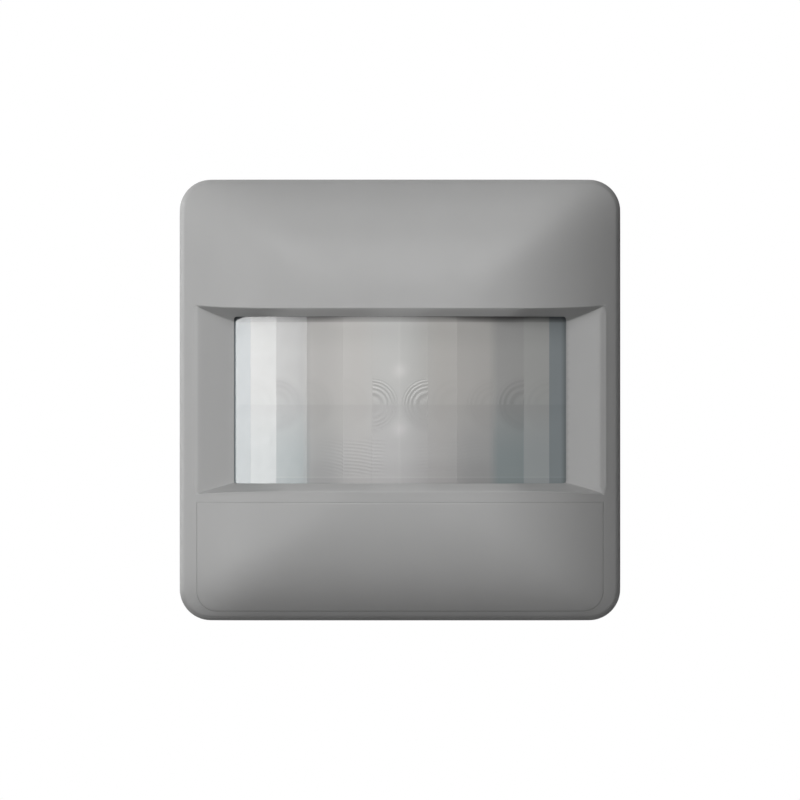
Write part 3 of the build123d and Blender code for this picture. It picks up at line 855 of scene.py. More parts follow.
FINISHES: dict[str, Finish] = {
    "cover_plastic": Moulded("cover_grey", (0.36, 0.36, 0.358), rough=0.5, flow=0.012, with_painted_light=True),
    "lens_plastic": LensMilk("lens_milk"),
    "dark_plastic": Moulded("black_nylon", (0.022, 0.022, 0.024), rough=0.55, grain=0.00001),
    "tray_plastic": Moulded("tray_grey", (0.235, 0.235, 0.24), rough=0.55, grain=0.000012),
    "dial_plastic": Moulded("dial_white", (0.62, 0.62, 0.6), rough=0.5, grain=0.000008),
    "blue_plastic": Moulded("relay_blue", (0.025, 0.1, 0.32), rough=0.35),
    "steel": Metal("zinc_plate", (0.62, 0.63, 0.64), rough=0.34),
    "circuit_board": CircuitBoard("board_green"),
    "sensor_filter": Moulded("filter_dark", (0.02, 0.012, 0.02), rough=0.12, grain=0.0),
    "led_epoxy": Clear("led_red", (0.6, 0.05, 0.04), rough=0.15, passing=0.6),
    "can_aluminium": Metal("can_aluminium", (0.78, 0.78, 0.79), rough=0.28),
    "contact_brass": Metal("brass", (0.72, 0.56, 0.27), rough=0.25),
    "housing_plastic": Moulded("housing_white", (0.6, 0.6, 0.585), rough=0.5, grain=0.00001),
    "yellow_plastic": Moulded("film_yellow", (0.58, 0.4, 0.05), rough=0.35),
    "glass_tube": Clear("fuse_glass", (0.95, 0.97, 0.97), passing=1.0),
    "varistor_blue": Moulded(
        "varistor_coat", (0.05, 0.14, 0.36), rough=0.4, grain=0.00003, grain_cells=2500.0
    ),
}


class Body(Enum):
    """The bodies that new pieces ride on."""

    HEAD = "head"
    LID = "lid"
    TIME_DIAL = "time_dial"
    LUX_DIAL = "lux_dial"
    RANGE_DIAL = "range_dial"


def paint(piece: bpy.types.Object, shade: Callable[[float, float], Colour]) -> None:
    """Give a piece's mesh its tone with its painted light and shade, place by place.

    Args:
        piece: the piece.
        shade: the shade at x and z.
    """
    layer = piece.data.color_attributes.new(TONE_AND_PAINTED_LIGHT, "FLOAT_COLOR", "POINT")
    for index, vertex in enumerate(piece.data.vertices):
        layer.data[index].color = (*shade(vertex.co.x / MM, vertex.co.z / MM), 1.0)


class Wardrobe:
    """Makes each finish's material once and puts it on pieces."""

    def __init__(self) -> None:
        """Start with nothing made."""
        self.made: dict[str, bpy.types.Material] = {}

    def material(self, slot: str) -> bpy.types.Material:
        """The material of one of the record's slots.

        Args:
            slot: the slot's name in the record.

        Returns:
            The material.
        """
        if slot not in self.made:
            self.made[slot] = FINISHES[slot].material()
        return self.made[slot]

    def dress(self, piece: bpy.types.Object, slot: str) -> None:
        """Give a piece the slot's material alone."""
        piece.data.materials.clear()
        piece.data.materials.append(self.material(slot))

    def finish_piece(self, piece: bpy.types.Object, slot: str, body: Body) -> None:
        """Dress a new piece, name its slot and let it ride on its body.

        Args:
            piece: the piece.
            slot: the record's slot that it takes.
            body: the body that it rides on.
        """
        self.dress(piece, slot)
        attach(piece, body.value)
        LOG.info("piece %s rides on %s with %s", piece.name, body.value, slot)


# The cover and its lid


@dataclass
class FrontPlate:
    """The domed cover, with the recess for the lens and the opening for the lid."""

    window: Window = field(default_factory=Window)
    side: float = 71.0
    corner: float = 5.0
    wall: float = 1.8
    skin: float = 2.0
    skirt: float = 1.5
    edge_round: float = 0.9
    edge_drop: float = 1.3
    edge_power: float = 2.0
    lens_corner: float = 0.5
    lid_top: float = 16.4
    lid_bottom: float = 34.0
    lid_corner: float = 3.2
    boss_place: float = 28.5
    boss: float = 2.6
    boss_foot: float = 4.6
    flange_reach: Point = (28.05, 14.75)
    flange_depth: float = 0.45
    block_reach: Point = (33.5, 16.75)
    block_sheet: float = 1.8
    half_step: float = 0.015
    painted_recess_shade: float = 0.87
    recess_rim: float = 0.3
    opening_skip: float = 0.1
    recess_foot: float = 0.05
    net_step: float = 0.55
    fine_step: float = 0.5
    opening_step: float = 0.4
    inner_step: float = 0.6
    rim_parts: int = 150
    foot_parts: int = 14
    boss_parts: int = 32
    rim_shifts: Sequence[float] = (-0.3, -0.18, -0.09, 0.0, 0.09, 0.18, 0.27, 0.4)
    side_shifts: Sequence[float] = (-0.7, -0.35, 0.0, 0.18, 0.3, 0.42, 0.54, 0.66, 0.8)
    side_margin: float = 0.6
    foot_shifts: Sequence[float] = (-0.3, -0.18, -0.06, 0.06, 0.18, 0.3)
    edge_insets: Sequence[float] = (0.08, 0.18, 0.32, 0.5, 0.7, 0.9)

    def shade(self, x: float, z: float) -> Colour:
        """Painted shade dims the flat areas in the recess beside the lens; the rest is plain.

        Args:
            x: place across.
            z: place up.

        Returns:
            The shade there.
        """
        arc = self.window.arc
        foot_z, _ = self.window.foot(x, z)
        flat = arc.wide / 2 - self.opening_skip < abs(x) < arc.window_half - self.recess_rim
        # Painted shade of the recess, on its flat areas beside the lens.
        level = self.painted_recess_shade if flat and abs(z) < foot_z + self.recess_foot else 1.0
        return level, level, level

    def margin(self, x: float, z: float) -> float:
        """Distance in from the plate's outline.

        Args:
            x: place across.
            z: place up.

        Returns:
            The distance, less than 0 outside.
        """
        dx = abs(x) - (self.side / 2 - self.corner)
        dz = abs(z) - (self.side / 2 - self.corner)
        if dx > 0 and dz > 0:
            return self.corner - math.hypot(dx, dz)
        return self.corner - max(dx, dz)

    def face(self, x: float, z: float) -> float:
        """The domed face with its rounded outer edge."""
        share = max(1 - max(self.margin(x, z), 0.0) / self.edge_round, 0.0)
        return self.window.arc.dome.height(x, z) - self.edge_drop * share**self.edge_power

    def top(self, x: float, z: float) -> float:
        """Height of the cover's front."""
        return self.window.cut(x, z, self.face(x, z))

    def bottom(self, x: float, z: float) -> float:
        """Height of the cover's inner side.

        Args:
            x: place across.
            z: place up.

        Returns:
            The height there.
        """
        if self.margin(x, z) < self.wall - self.half_step:
            return self.skirt
        for bx in (-self.boss_place, self.boss_place):
            if math.hypot(x - bx, z - self.boss_place) < self.boss - self.half_step:
                return self.boss_foot
        arc = self.window.arc
        if all(abs(place) < reach - self.half_step for place, reach in zip((x, z), self.flange_reach)):
            return arc.front(x, self.flange_depth)
        if all(abs(place) < reach - self.half_step for place, reach in zip((x, z), self.block_reach)):
            return arc.floor - self.block_sheet
        return arc.dome.height(x, z) - self.skin

    def outline(self, inset: float) -> list[Point]:
        """The plate's outline, drawn in by this much."""
        side = self.side - 2 * inset
        return rounded_rectangle(side, side, [self.corner - inset] * 4, self.net_step)

    def lid_outline(self, inset: float) -> list[Point]:
        """The lid opening's outline, drawn in by this much.

        Args:
            inset: how far it is drawn in.

        Returns:
            The outline's points.
        """
        wide = 2 * self.window.arc.window_half - 2 * inset
        tall = self.lid_bottom - self.lid_top - 2 * inset
        corner = self.lid_corner - inset
        points = rounded_rectangle(wide, tall, [0, 0, corner, corner], self.net_step)
        return shifted(points, 0, -(self.lid_top + self.lid_bottom) / 2)

    def guides(self) -> list[list[Point]]:
        """Lines along the window's rims and feet, where the face bends.

        Returns:
            Each line's points.
        """
        arc = self.window.arc
        half, half_lens = arc.window_half, arc.wide / 2
        xs = [half * (2 * i / self.rim_parts - 1) for i in range(self.rim_parts + 1)]
        feet = [half_lens + (half - half_lens) * i / self.foot_parts for i in range(self.foot_parts + 1)]
        reach = self.window.end / 2 - self.side_margin
        lines = []
        for side in (-1, 1):
            for shift in self.rim_shifts:
                lines.append([(x, side * (self.window.edge(x) + shift)) for x in xs])
            for shift in self.side_shifts:
                x = side * (half + shift)
                lines.append(divided((x, -reach), (x, reach), self.fine_step))
            for end in (-1, 1):
                for shift in self.foot_shifts:
                    lines.append([(end * x, side * (self.window.foot(x, side)[0] + shift)) for x in feet])
        return lines

    def loops(self) -> list[list[Point]]:
        """Closed lines round the steps of the inner side, and along the rounded outer edge.

        Returns:
            Each loop's points.
        """
        step = 2 * self.half_step
        rings = [self.outline(inset) for inset in (*self.edge_insets, self.wall - step, self.wall)]
        for wide, tall in (self.flange_reach, self.block_reach):
            for less in (step, 0.0):
                size = (2 * (wide - less), 2 * (tall - less))
                rings.append(rounded_rectangle(*size, [0, 0, 0, 0], self.inner_step))
        turn = [2 * math.pi * i / self.boss_parts for i in range(self.boss_parts)]
        for bx in (-self.boss_place, self.boss_place):
            for radius in (self.boss - step, self.boss):
                ring = [(radius * math.cos(a), radius * math.sin(a)) for a in turn]
                rings.append(shifted(ring, bx, self.boss_place))
        return rings

    def build(self, wardrobe: Wardrobe) -> bpy.types.Object:
        """Make and dress the cover.

        Args:
            wardrobe: the finishes.

        Returns:
            The cover.
        """
        arc = self.window.arc
        opening = rounded_rectangle(arc.wide, arc.tall, [self.lens_corner] * 4, self.opening_step)
        shell = Shell(
            "domed_cover",
            self.top,
            self.bottom,
            self.outline(0),
            holes=[opening, self.lid_outline(0)],
            guides=self.guides(),
            loops=self.loops(),
        )
        cover = shell.build()
        paint(cover, self.shade)
        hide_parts("front_plate")
        wardrobe.finish_piece(cover, "cover_plastic", Body.HEAD)
        return cover


@dataclass
class ControlLid:
    """The lid, which goes on with the cover's face, and its four arms."""

    plate: FrontPlate
    seam: float = 0.025
    arm_places: Sequence[Point] = ((27.0, -19.15), (27.0, -30.95))
    arm_size: Point = (4.0, 1.2)
    arm_foot: float = 10.8
    edge_round: float = 0.25
    edge_drop: float = 0.05
    arm_step: float = 0.02
    arm_margin: float = 0.005
    rise: float = 0.2

    def edge(self, x: float, z: float) -> float:
        """Distance in from the lid's outline.

        Args:
            x: place across.
            z: place up.

        Returns:
            The distance.
        """
        half = self.plate.window.arc.window_half - self.seam
        top, bottom = -self.plate.lid_top - self.seam, -self.plate.lid_bottom + self.seam
        corner = self.plate.lid_corner - self.seam
        dx, dz = abs(x) - (half - corner), (bottom + corner) - z
        if dx > 0 and dz > 0:
            return corner - math.hypot(dx, dz)
        return min(half - abs(x), top - z, z - bottom)

    def top(self, x: float, z: float) -> float:
        """Height of the lid's front."""
        share = max(1 - max(self.edge(x, z), 0.0) / self.edge_round, 0.0)
        return self.plate.face(x, z) - self.edge_drop * share**2

    def in_arm(self, x: float, z: float) -> bool:
        """Whether a place lies on one of the arms."""
        wide, tall = (size / 2 - self.arm_margin for size in self.arm_size)
        return any(abs(abs(x) - ax) < wide and abs(z - az) < tall for ax, az in self.arm_places)

    def bottom(self, x: float, z: float) -> float:
        """Height of the lid's inner side, or of an arm's end.

        Args:
            x: place across.
            z: place up.

        Returns:
            The height there.
        """
        if self.in_arm(x, z):
            return self.arm_foot
        return max(self.plate.window.arc.dome.height(x, z) - self.plate.skin, self.arm_foot - self.rise)

    def build(self, wardrobe: Wardrobe) -> bpy.types.Object:
        """Make and dress the lid.

        Args:
            wardrobe: the finishes.

        Returns:
            The lid.
        """
        plate = self.plate
        loops = [plate.lid_outline(self.seam + inset) for inset in plate.edge_insets[:3]]
        for side in (-1, 1):
            for ax, az in self.arm_places:
                for less in (0.0, self.arm_step):
                    size = [length - 2 * less for length in self.arm_size]
                    arm = rounded_rectangle(*size, [0, 0, 0, 0], plate.inner_step)
                    loops.append(shifted(arm, side * ax, az))
        shell = Shell("pull_off_lid", self.top, self.bottom, plate.lid_outline(self.seam), loops=loops)
        lid = shell.build()
        paint(lid, plate.shade)
        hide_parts("control_lid")
        wardrobe.finish_piece(lid, "cover_plastic", Body.LID)
        return lid


# The lens


@dataclass(frozen=True)
class Strip:
    """One upright strip of the lens: where it ends, its shade above and below, and its rings."""

    end_share: float
    upper: Colour
    lower: Colour
    zone: float = 5.4
    rings: float = 0.0
    flat: float = 0.35
    blend: float = 4.0


@dataclass
class FresnelLens:
    """The curved lens: upright strips, each with fine rings round its own centre."""

    arc: LensArc
    gap: float = 0.012
    tuck: float = 1.2
    step: float = 0.6
    flange: float = 0.8
    sheet: float = 1.0
    drop_wide: float = 0.01
    ridge: float = 0.005
    ridge_wide: float = 0.2
    row_line: float = -0.75
    ring_deep: float = 0.012
    ring_reach: float = 4.7
    left_rings: float = 0.35
    # Painted shading of the rings, as light and dark lines in the colour.
    painted_ring_shading: float = 0.05
    ring_fade: float = 1.0
    ring_phase: float = 0.2
    low_rings: float = 0.35
    spot_dim: float = 0.11
    spot_grow: float = 0.2
    spot_fade: float = 1.6
    left_from: float = 5.0
    ripple_deep: float = 0.003
    ripple_pitch: float = 0.55
    ripple_centre: float = -30.0
    ripple_rows: Sequence[Fade] = (Fade(1.0, 5.6, 1.5), Fade(1.0, -12.6, 1.0))
    ripple_sides: Sequence[Fade] = (Fade(1.0, 1.5, 2.0), Fade(1.0, -14.5, 3.0))
    fall: Fade = Fade(1.0, -3.0, 13.0)
    row_dim: float = 0.05
    row_edge: float = 0.05
    row_fade: Fade = Fade(1.0, -4.2, 3.4)
    # Painted glows: light spots and a light middle line in the colour.
    painted_glow: float = 0.2
    glow_place: float = 4.7
    glow_wide: float = 1.15
    painted_middle_glow: float = 0.035
    middle_wide: float = 0.25
    # Painted shade, darker towards the top and the bottom of the lens.
    painted_head_shade: Fade = Fade(0.1, 7.0, 4.5)
    painted_foot_shade: Fade = Fade(0.1, 8.5, 3.0)
    foot_side: Fade = Fade(1.0, 13.0, 4.0)
    # Painted shadow under the top wall, and a painted light line low down.
    shadow_edge: Fade = Fade(0.3, 12.4, 0.16)
    shadow: Fade = Fade(0.3, 12.5, 0.7)
    painted_light_line: float = 0.07
    light_place: float = 12.4
    light_wide: float = 0.1
    light_end: Fade = Fade(1.0, 12.45, 0.1)
    light_from: float = -20.0
    # Painted shade at the lens's right end.
    painted_right_shade: Fade = Fade(0.3, 25.8, 0.8)
    touch: float = 0.001
    fine: float = 0.13
    coarse: float = 0.3
    fine_rows: Sequence[Point] = ((0.0, 4.4), (6.0, 13.4))
    edge_clear: float = 0.05
    edge_lines: Sequence[float] = (-0.16, -0.08, 0.08, 0.16)
    strips: Sequence[Strip] = (
        Strip(0.166, (0.434, 0.433, 0.421), (0.392, 0.388, 0.387), 3.6, 0.65),
        Strip(0.343, (0.436, 0.424, 0.407), (0.388, 0.381, 0.375), 9.0, 0.25),
        Strip(0.56, (0.455, 0.445, 0.432), (0.36, 0.361, 0.358), 4.6, 0.4, 0.2),
        Strip(0.744, (0.378, 0.378, 0.373), (0.272, 0.307, 0.311), 5.4, 1.0, 0.15, 1.6),
        Strip(0.898, (0.417, 0.42, 0.413), (0.359, 0.382, 0.385), 6.5, 0.3, 0.5, 0.15),
        Strip(1.02, (0.28, 0.308, 0.321), (0.27, 0.301, 0.311), flat=0.8, blend=0.15),
    )

    def strip(self, x: float) -> tuple[Strip, float, float]:
        """The strip at x, and the distances of its edges from the middle.

        Args:
            x: place across.

        Returns:
            The strip, and where it starts and ends.
        """
        half = self.arc.wide / 2
        near = 0.0
        for strip in self.strips:
            far = strip.end_share * half
            if abs(x) < far:
                return strip, near, far
            near = far
        return self.strips[-1], self.strips[-2].end_share * half, far

    def relief(self, x: float, z: float) -> float:
        """How far the rings, ripples and strip edges stand off the smooth strip.

        Args:
            x: place across.
            z: place up.

        Returns:
            The height there.
        """
        strip, near, far = self.strip(x)
        height = 0.0
        for edge in (near, far):
            height += self.ridge * max(1 - abs(abs(x) - edge) / self.ridge_wide, 0.0) ** 2
        radius = math.hypot(abs(x) - far, z - self.row_line)
        fade = smooth((self.ring_reach - radius) / self.ring_fade)
        fade *= 1.0 if z > self.row_line else self.low_rings
        worn = self.left_rings if x < -self.ring_reach else 1.0
        wave = math.cos(2 * math.pi * radius * radius / strip.zone)
        height += self.ring_deep * strip.rings * worn * fade * wave
        bow = math.hypot(abs(x) - far, z - self.ripple_centre)
        return height + self.ripple(x, z) * math.cos(2 * math.pi * bow / self.ripple_pitch)

    def ripple(self, x: float, z: float) -> float:
        """How deep the ripples are at a place; they lie low in the middle strips.

        Args:
            x: place across.
            z: place up.

        Returns:
            The depth there.
        """
        top, foot = self.ripple_rows
        inner, outer = self.ripple_sides
        return self.ripple_deep * top.soft(-z) * foot.soft(z) * inner.soft(abs(x)) * outer.soft(-abs(x))

    def field_height(self, x: float, z: float) -> float:
        """Height of the raised field's face.

        Args:
            x: place across.
            z: place up.

        Returns:
            The height there.
        """
        strip, near, far = self.strip(x)
        ends = self.arc.front(near), self.arc.front(far)
        chord = ends[0] + (abs(x) - near) / (far - near) * (ends[1] - ends[0])
        bowed = self.arc.front(x)
        return bowed + strip.flat * (chord - bowed) + self.relief(x, z)

    def on_field(self, x: float, z: float) -> bool:
        """Whether a place is on the raised field and not on the flange."""
        less = self.gap - self.touch
        return abs(x) < self.arc.wide / 2 - less and abs(z) < self.arc.tall / 2 - less

    def top(self, x: float, z: float) -> float:
        """Height of the lens's front."""
        return self.field_height(x, z) if self.on_field(x, z) else self.arc.front(x, self.step)

    def bottom(self, x: float, z: float) -> float:
        """Height of the lens's back."""
        return self.arc.front(x, self.sheet if self.on_field(x, z) else self.step + self.flange)

    def tint(self, x: float, z: float) -> Colour:
        """The sheet's colour, which runs softly or sharply from strip to strip.

        Args:
            x: place across.
            z: place up.

        Returns:
            The colour there.
        """
        fall = self.fall.soft(-z)
        colour = [0.0] * 3
        near = 0.0
        for strip in self.strips:
            weight = min(max(0.5 + (abs(x) - near) / strip.blend, 0.0), 1.0) if near else 1.0
            own = [a + (b - a) * fall for a, b in zip(strip.upper, strip.lower)]
            colour = [a + (b - a) * weight for a, b in zip(colour, own)]
            near = strip.end_share * self.arc.wide / 2
        return tuple(colour)

    def ringed(self, x: float, z: float) -> float:
        """How much lighter the painted shading of the rings and the darker spots round them make the sheet.

        Args:
            x: place across.
            z: place up.

        Returns:
            The change, less than 0 where it is darker.
        """
        strip, _, far = self.strip(x)
        radius = math.hypot(abs(x) - far, z - self.row_line)
        spot = self.spot_dim * smooth((self.ring_reach + self.spot_grow - radius) / self.spot_fade)
        if z <= self.row_line:
            return -strip.rings * spot
        wave = math.cos(2 * math.pi * (radius * radius / strip.zone - self.ring_phase))
        worn = self.left_rings if x < -self.left_from else 1.0
        # Painted shading of the rings' relief, as light and dark lines.
        line = self.painted_ring_shading * wave * worn * smooth((self.ring_reach - radius) / self.ring_fade)
        return strip.rings * (line - spot)

    def rims(self, x: float, z: float) -> float:
        """Painted light and shade at the rims: a painted shadow under the top wall, painted shade at the
        right end, and a painted light line low down with a darker band below it.

        Args:
            x: place across.
            z: place up.

        Returns:
            The share that stays.
        """
        # Painted shadow under the top wall.
        share = 1 - self.shadow_edge.soft(z) - self.shadow.even(z)
        # Painted light line low down, with a darker band below it.
        if x > self.light_from:
            rim = hump(z + self.light_place, self.light_wide) - self.light_end.soft(-z)
            share *= 1 + self.painted_light_line * rim
        # Painted shade at the right end.
        return share * (1 - self.painted_right_shade.soft(x))

    def shade(self, x: float, z: float) -> Colour:
        """The colour with the row line, the ringed spots, the painted ring shading, the painted glows,
        painted shade at the top and bottom, and the painted light and shade at the rims.

        Args:
            x: place across.
            z: place up.

        Returns:
            The shade there.
        """
        share = 1 + self.ringed(x, z)
        share -= self.row_dim * smooth((self.row_line - z) / self.row_edge) * self.row_fade.soft(z)
        # Painted glows.
        share += self.painted_glow * hump(x, self.glow_wide) * hump(abs(z) - self.glow_place, self.glow_wide)
        share += self.painted_middle_glow * hump(x, self.middle_wide)
        # Painted shade, darker towards the top and the bottom.
        share -= self.painted_head_shade.soft(z) + self.painted_foot_shade.soft(-z) * (1 - self.foot_side.soft(abs(x)))
        share *= self.rims(x, z)
        red, green, blue = self.tint(x, z)
        return red * share, green * share, blue * share

    def lines(self, half: float, fine: Sequence[Point]) -> list[float]:
        """Places from the lens's middle out, close together over the fine stretches.

        Args:
            half: the last place.
            fine: where each fine stretch starts and ends.

        Returns:
            The places.
        """
        places = [0.0]
        while places[-1] < half:
            close = any(low <= places[-1] < high for low, high in fine)
            places.append(min(places[-1] + (self.fine if close else self.coarse), half))
        return places

    def build(self, wardrobe: Wardrobe) -> bpy.types.Object:
        """Make and dress the lens.

        Args:
            wardrobe: the finishes.

        Returns:
            The lens.
        """
        half = self.arc.wide / 2 - self.gap
        edges = [strip.end_share * self.arc.wide / 2 for strip in self.strips[:-1]]
        right = self.lines(half, [(0.0, edges[0]), (edges[2], edges[4])])
        right = [x for x in right if all(abs(x - edge) > self.edge_clear for edge in edges)]
        right = sorted({*right, *edges, *[edge + shift for edge in edges for shift in self.edge_lines]})
        right += [half + self.drop_wide, self.arc.wide / 2 + self.tuck]
        columns = [-x for x in reversed(right[1:])] + right
        tall = self.arc.tall / 2 - self.gap
        up = self.lines(tall, self.fine_rows)
        up += [tall + self.drop_wide, self.arc.tall / 2 + self.tuck]
        rows = [-z for z in reversed(up[1:])] + up
        shell = GridShell("milky_lens", self.top, self.bottom, columns, rows, self.field_height)
        lens = shell.build()
        paint(lens, self.shade)
        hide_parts("fresnel_lens")
        wardrobe.finish_piece(lens, "lens_plastic", Body.HEAD)
        return lens


# The marks behind the lid


@dataclass(frozen=True)
class Word:
    """A printed word or number: its middle and the height of its letters."""

    text: str
    x: float
    z: float
    tall: float = 1.15


@dataclass(frozen=True)
class DialScale:
    """One dial's scale: the body it turns with, its place and the numbers at its ends."""

    body: Body
    x: float
    ends: tuple[str, str]


@dataclass
class Marks:
    """The printed scales on the tray's floor, and the pointer on each dial."""

    floor: float = 10.6
    ink: float = 0.03
    row: float = -25.2
    near: float = 4.5
    far: float = 5.1
    line: float = 0.16
    turn: float = 135.0
    ticks: int = 9
    dial_face: float = 14.0
    pointer_near: float = 2.3
    pointer_far: float = 3.5
    pointer_wide: float = 0.9
    slider: float = 18.966
    travel: float = 2.4
    slider_line: float = -28.2
    word_line: float = -30.0
    number_place: float = 3.9
    word_shift: float = 0.2
    tick_gap: float = 0.08
    tick_more: float = 0.1
    bar_half: Point = (0.1, 0.4)
    arc_steps: int = 48
    capital_share: float = 0.7
    curve_steps: int = 4
    dials: Sequence[DialScale] = (
        DialScale(Body.TIME_DIAL, -18.312, ("5s", "9m")),
        DialScale(Body.LUX_DIAL, -6.213, ("3", "99")),
        DialScale(Body.RANGE_DIAL, 5.886, ("2m", "9m")),
    )

    def prism(self, net: bmesh.types.BMesh, outline: Sequence[Point], low: float) -> None:
        """Add one printed shape over an outline.

        Args:
            net: the mesh that it goes into.
            outline: the shape's points.
            low: the height that it lies on.
        """
        foot = [net.verts.new((x * MM, -low * MM, z * MM)) for x, z in outline]
        top = [net.verts.new((x * MM, -(low + self.ink) * MM, z * MM)) for x, z in outline]
        net.faces.new(top)
        net.faces.new(list(reversed(foot)))
        for i in range(len(outline)):
            k = (i + 1) % len(outline)
            net.faces.new([foot[i], foot[k], top[k], top[i]])

    def ray(self, cx: float, angle: float, near: float, far: float) -> list[Point]:
        """The outline of a short line that points away from a dial's middle.

        Args:
            cx: the dial's place across.
            angle: the line's direction, from straight up.
            near: the line's start from the middle.
            far: its end.

        Returns:
            The outline's four points.
        """
        out_x, out_z = math.sin(angle), math.cos(angle)
        dx, dz = out_z * self.line / 2, -out_x * self.line / 2
        (ax, az), (bx, bz) = [(cx + out_x * r, self.row + out_z * r) for r in (near, far)]
        return [(ax - dx, az - dz), (ax + dx, az + dz), (bx + dx, bz + dz), (bx - dx, bz - dz)]

    def arc(self, cx: float) -> list[Point]:
        """The outline of the thin line round a dial.

        Args:
            cx: the dial's place across.

        Returns:
            The outline's points.
        """
        turn = math.radians(self.turn)
        angles = [turn * (2 * i / self.arc_steps - 1) for i in range(self.arc_steps + 1)]
        far = self.near + self.line
        outer = [(far * math.sin(a), far * math.cos(a)) for a in angles]
        inner = [(self.near * math.sin(a), self.near * math.cos(a)) for a in reversed(angles)]
        return shifted(reversed(outer + inner), cx, self.row)

    def word(self, net: bmesh.types.BMesh, word: Word) -> None:
        """Add a printed word.

        Args:
            net: the mesh that it goes into.
            word: the word and its place.
        """
        curve = bpy.data.curves.new(word.text, "FONT")
        curve.body = word.text
        curve.size = word.tall * MM / self.capital_share
        curve.extrude = self.ink * MM / 2
        curve.resolution_u = self.curve_steps
        curve.align_x, curve.align_y = "CENTER", "CENTER"
        thing = bpy.data.objects.new(word.text, curve)
        mesh = bpy.data.meshes.new_from_object(thing)
        middle = Vector((word.x * MM, -(self.floor + self.ink / 2) * MM, word.z * MM))
        mesh.transform(Matrix.Translation(middle) @ Matrix.Rotation(math.pi / 2, 4, "X"))
        net.from_mesh(mesh)
        bpy.data.objects.remove(thing)

    def finish(self, name: str, net: bmesh.types.BMesh) -> bpy.types.Object:
        """Turn a net into a linked piece, with every face outward.

        Args:
            name: the piece's name.
            net: its mesh so far.

        Returns:
            The piece.
        """
        bmesh.ops.recalc_face_normals(net, faces=net.faces)
        mesh = bpy.data.meshes.new(name)
        net.to_mesh(mesh)
        net.free()
        return linked(name, mesh)

    def words(self) -> list[Word]:
        """Every word and number on the tray.

        Returns:
            The words.
        """
        words = []
        for scale in self.dials:
            for side, text in zip((-1, 1), scale.ends):
                words.append(Word(text, scale.x + side * self.number_place, self.word_line))
        for side, text in ((-1, "OFF"), (1, "ON")):
            words.append(Word(text, self.slider + side * (self.travel + self.word_shift), self.word_line))
        return words

    def build(self, wardrobe: Wardrobe) -> None:
        """Make the scales and the pointers.

        Args:
            wardrobe: the finishes.
        """
        net = bmesh.new()
        near, far = self.near + self.line + self.tick_gap, self.far + self.tick_more
        for scale in self.dials:
            self.prism(net, self.arc(scale.x), self.floor)
            for tick in range(self.ticks):
                angle = math.radians(self.turn) * (2 * tick / (self.ticks - 1) - 1)
                self.prism(net, self.ray(scale.x, angle, near, far), self.floor)
        half_wide, half_tall = self.bar_half
        bar = [(sx * half_wide, sz * half_tall) for sx, sz in SQUARE_TURNS]
        for step in (-1, 0, 1):
            self.prism(net, shifted(bar, self.slider + step * self.travel, self.slider_line), self.floor)
        for word in self.words():
            self.word(net, word)
        wardrobe.finish_piece(self.finish("tray_print", net), "dial_plastic", Body.HEAD)
        for scale in self.dials:
            net = bmesh.new()
            foot, half = self.row + self.pointer_near, self.pointer_wide / 2
            tip = (scale.x, self.row + self.pointer_far)
            self.prism(net, [tip, (scale.x - half, foot), (scale.x + half, foot)], self.dial_face)
            pointer = self.finish(f"{scale.body.value}_pointer", net)
            wardrobe.finish_piece(pointer, "dark_plastic", scale.body)


# The studio


def sheet(name: str, wide: float, tall: float, height: float) -> bpy.types.Mesh:
    """A flat rectangle that faces up.

    Args:
        name: the mesh's name.
        wide: its width.
        tall: its length.
        height: its height.

    Returns:
        The mesh.
    """
    mesh = bpy.data.meshes.new(name)
    corners = [(sx * wide / 2, sy * tall / 2, height) for sx, sy in SQUARE_TURNS]
    mesh.from_pydata(corners, [], [(0, 1, 2, 3)])
    return mesh


@dataclass(frozen=True)
class Stand:
    """A rectangle on a stand that faces the switch, at this direction and distance."""

    name: str
    azimuth: float
    elevation: float
    distance: float
    wide: float
    tall: float

    def aim(self, data: bpy.types.ID) -> bpy.types.Object:
        """Put the data up at its place, turned to the switch.

        Args:
            data: the lamp or the mesh.

        Returns:
            The new object.
        """
        turn, rise = math.radians(self.azimuth), math.radians(self.elevation)
        away = Vector((math.sin(turn) * math.cos(rise), -math.cos(turn) * math.cos(rise), math.sin(rise)))
        thing = linked(self.name, data)
        thing.location = away * self.distance
        thing.rotation_mode = "QUATERNION"
        thing.rotation_quaternion = away.to_track_quat("Z", "Y")
        return thing


@dataclass(frozen=True)
class SoftBox(Stand):
    """A soft rectangular lamp; its level is what a white card facing it at the switch would show."""

    level: float
    colour: Colour = (1.0, 1.0, 1.0)

    def place(self) -> None:
        """Put up the lamp."""
        lamp = bpy.data.lights.new(self.name, "AREA")
        lamp.shape = "RECTANGLE"
        lamp.size, lamp.size_y = self.wide, self.tall
        lamp.energy = self.level * math.pi**2 * self.distance**2
        lamp.color = self.colour
        self.aim(lamp)


@dataclass(frozen=True)
class DarkCard(Stand):
    """A dark card beside the switch, which its edges mirror and the camera doesn't see."""

    shade: float = 0.01

    def place(self) -> None:
        """Put up the card."""
        mesh = sheet(self.name, self.wide, self.tall, 0.0)
        tree = Tree(self.name)
        tree.set(Base_Color=(*[self.shade] * 3, 1.0), Roughness=1.0, Specular_IOR_Level=0.0)
        mesh.materials.append(tree.material)
        card = self.aim(mesh)
        card.visible_camera = False
        card.visible_shadow = False


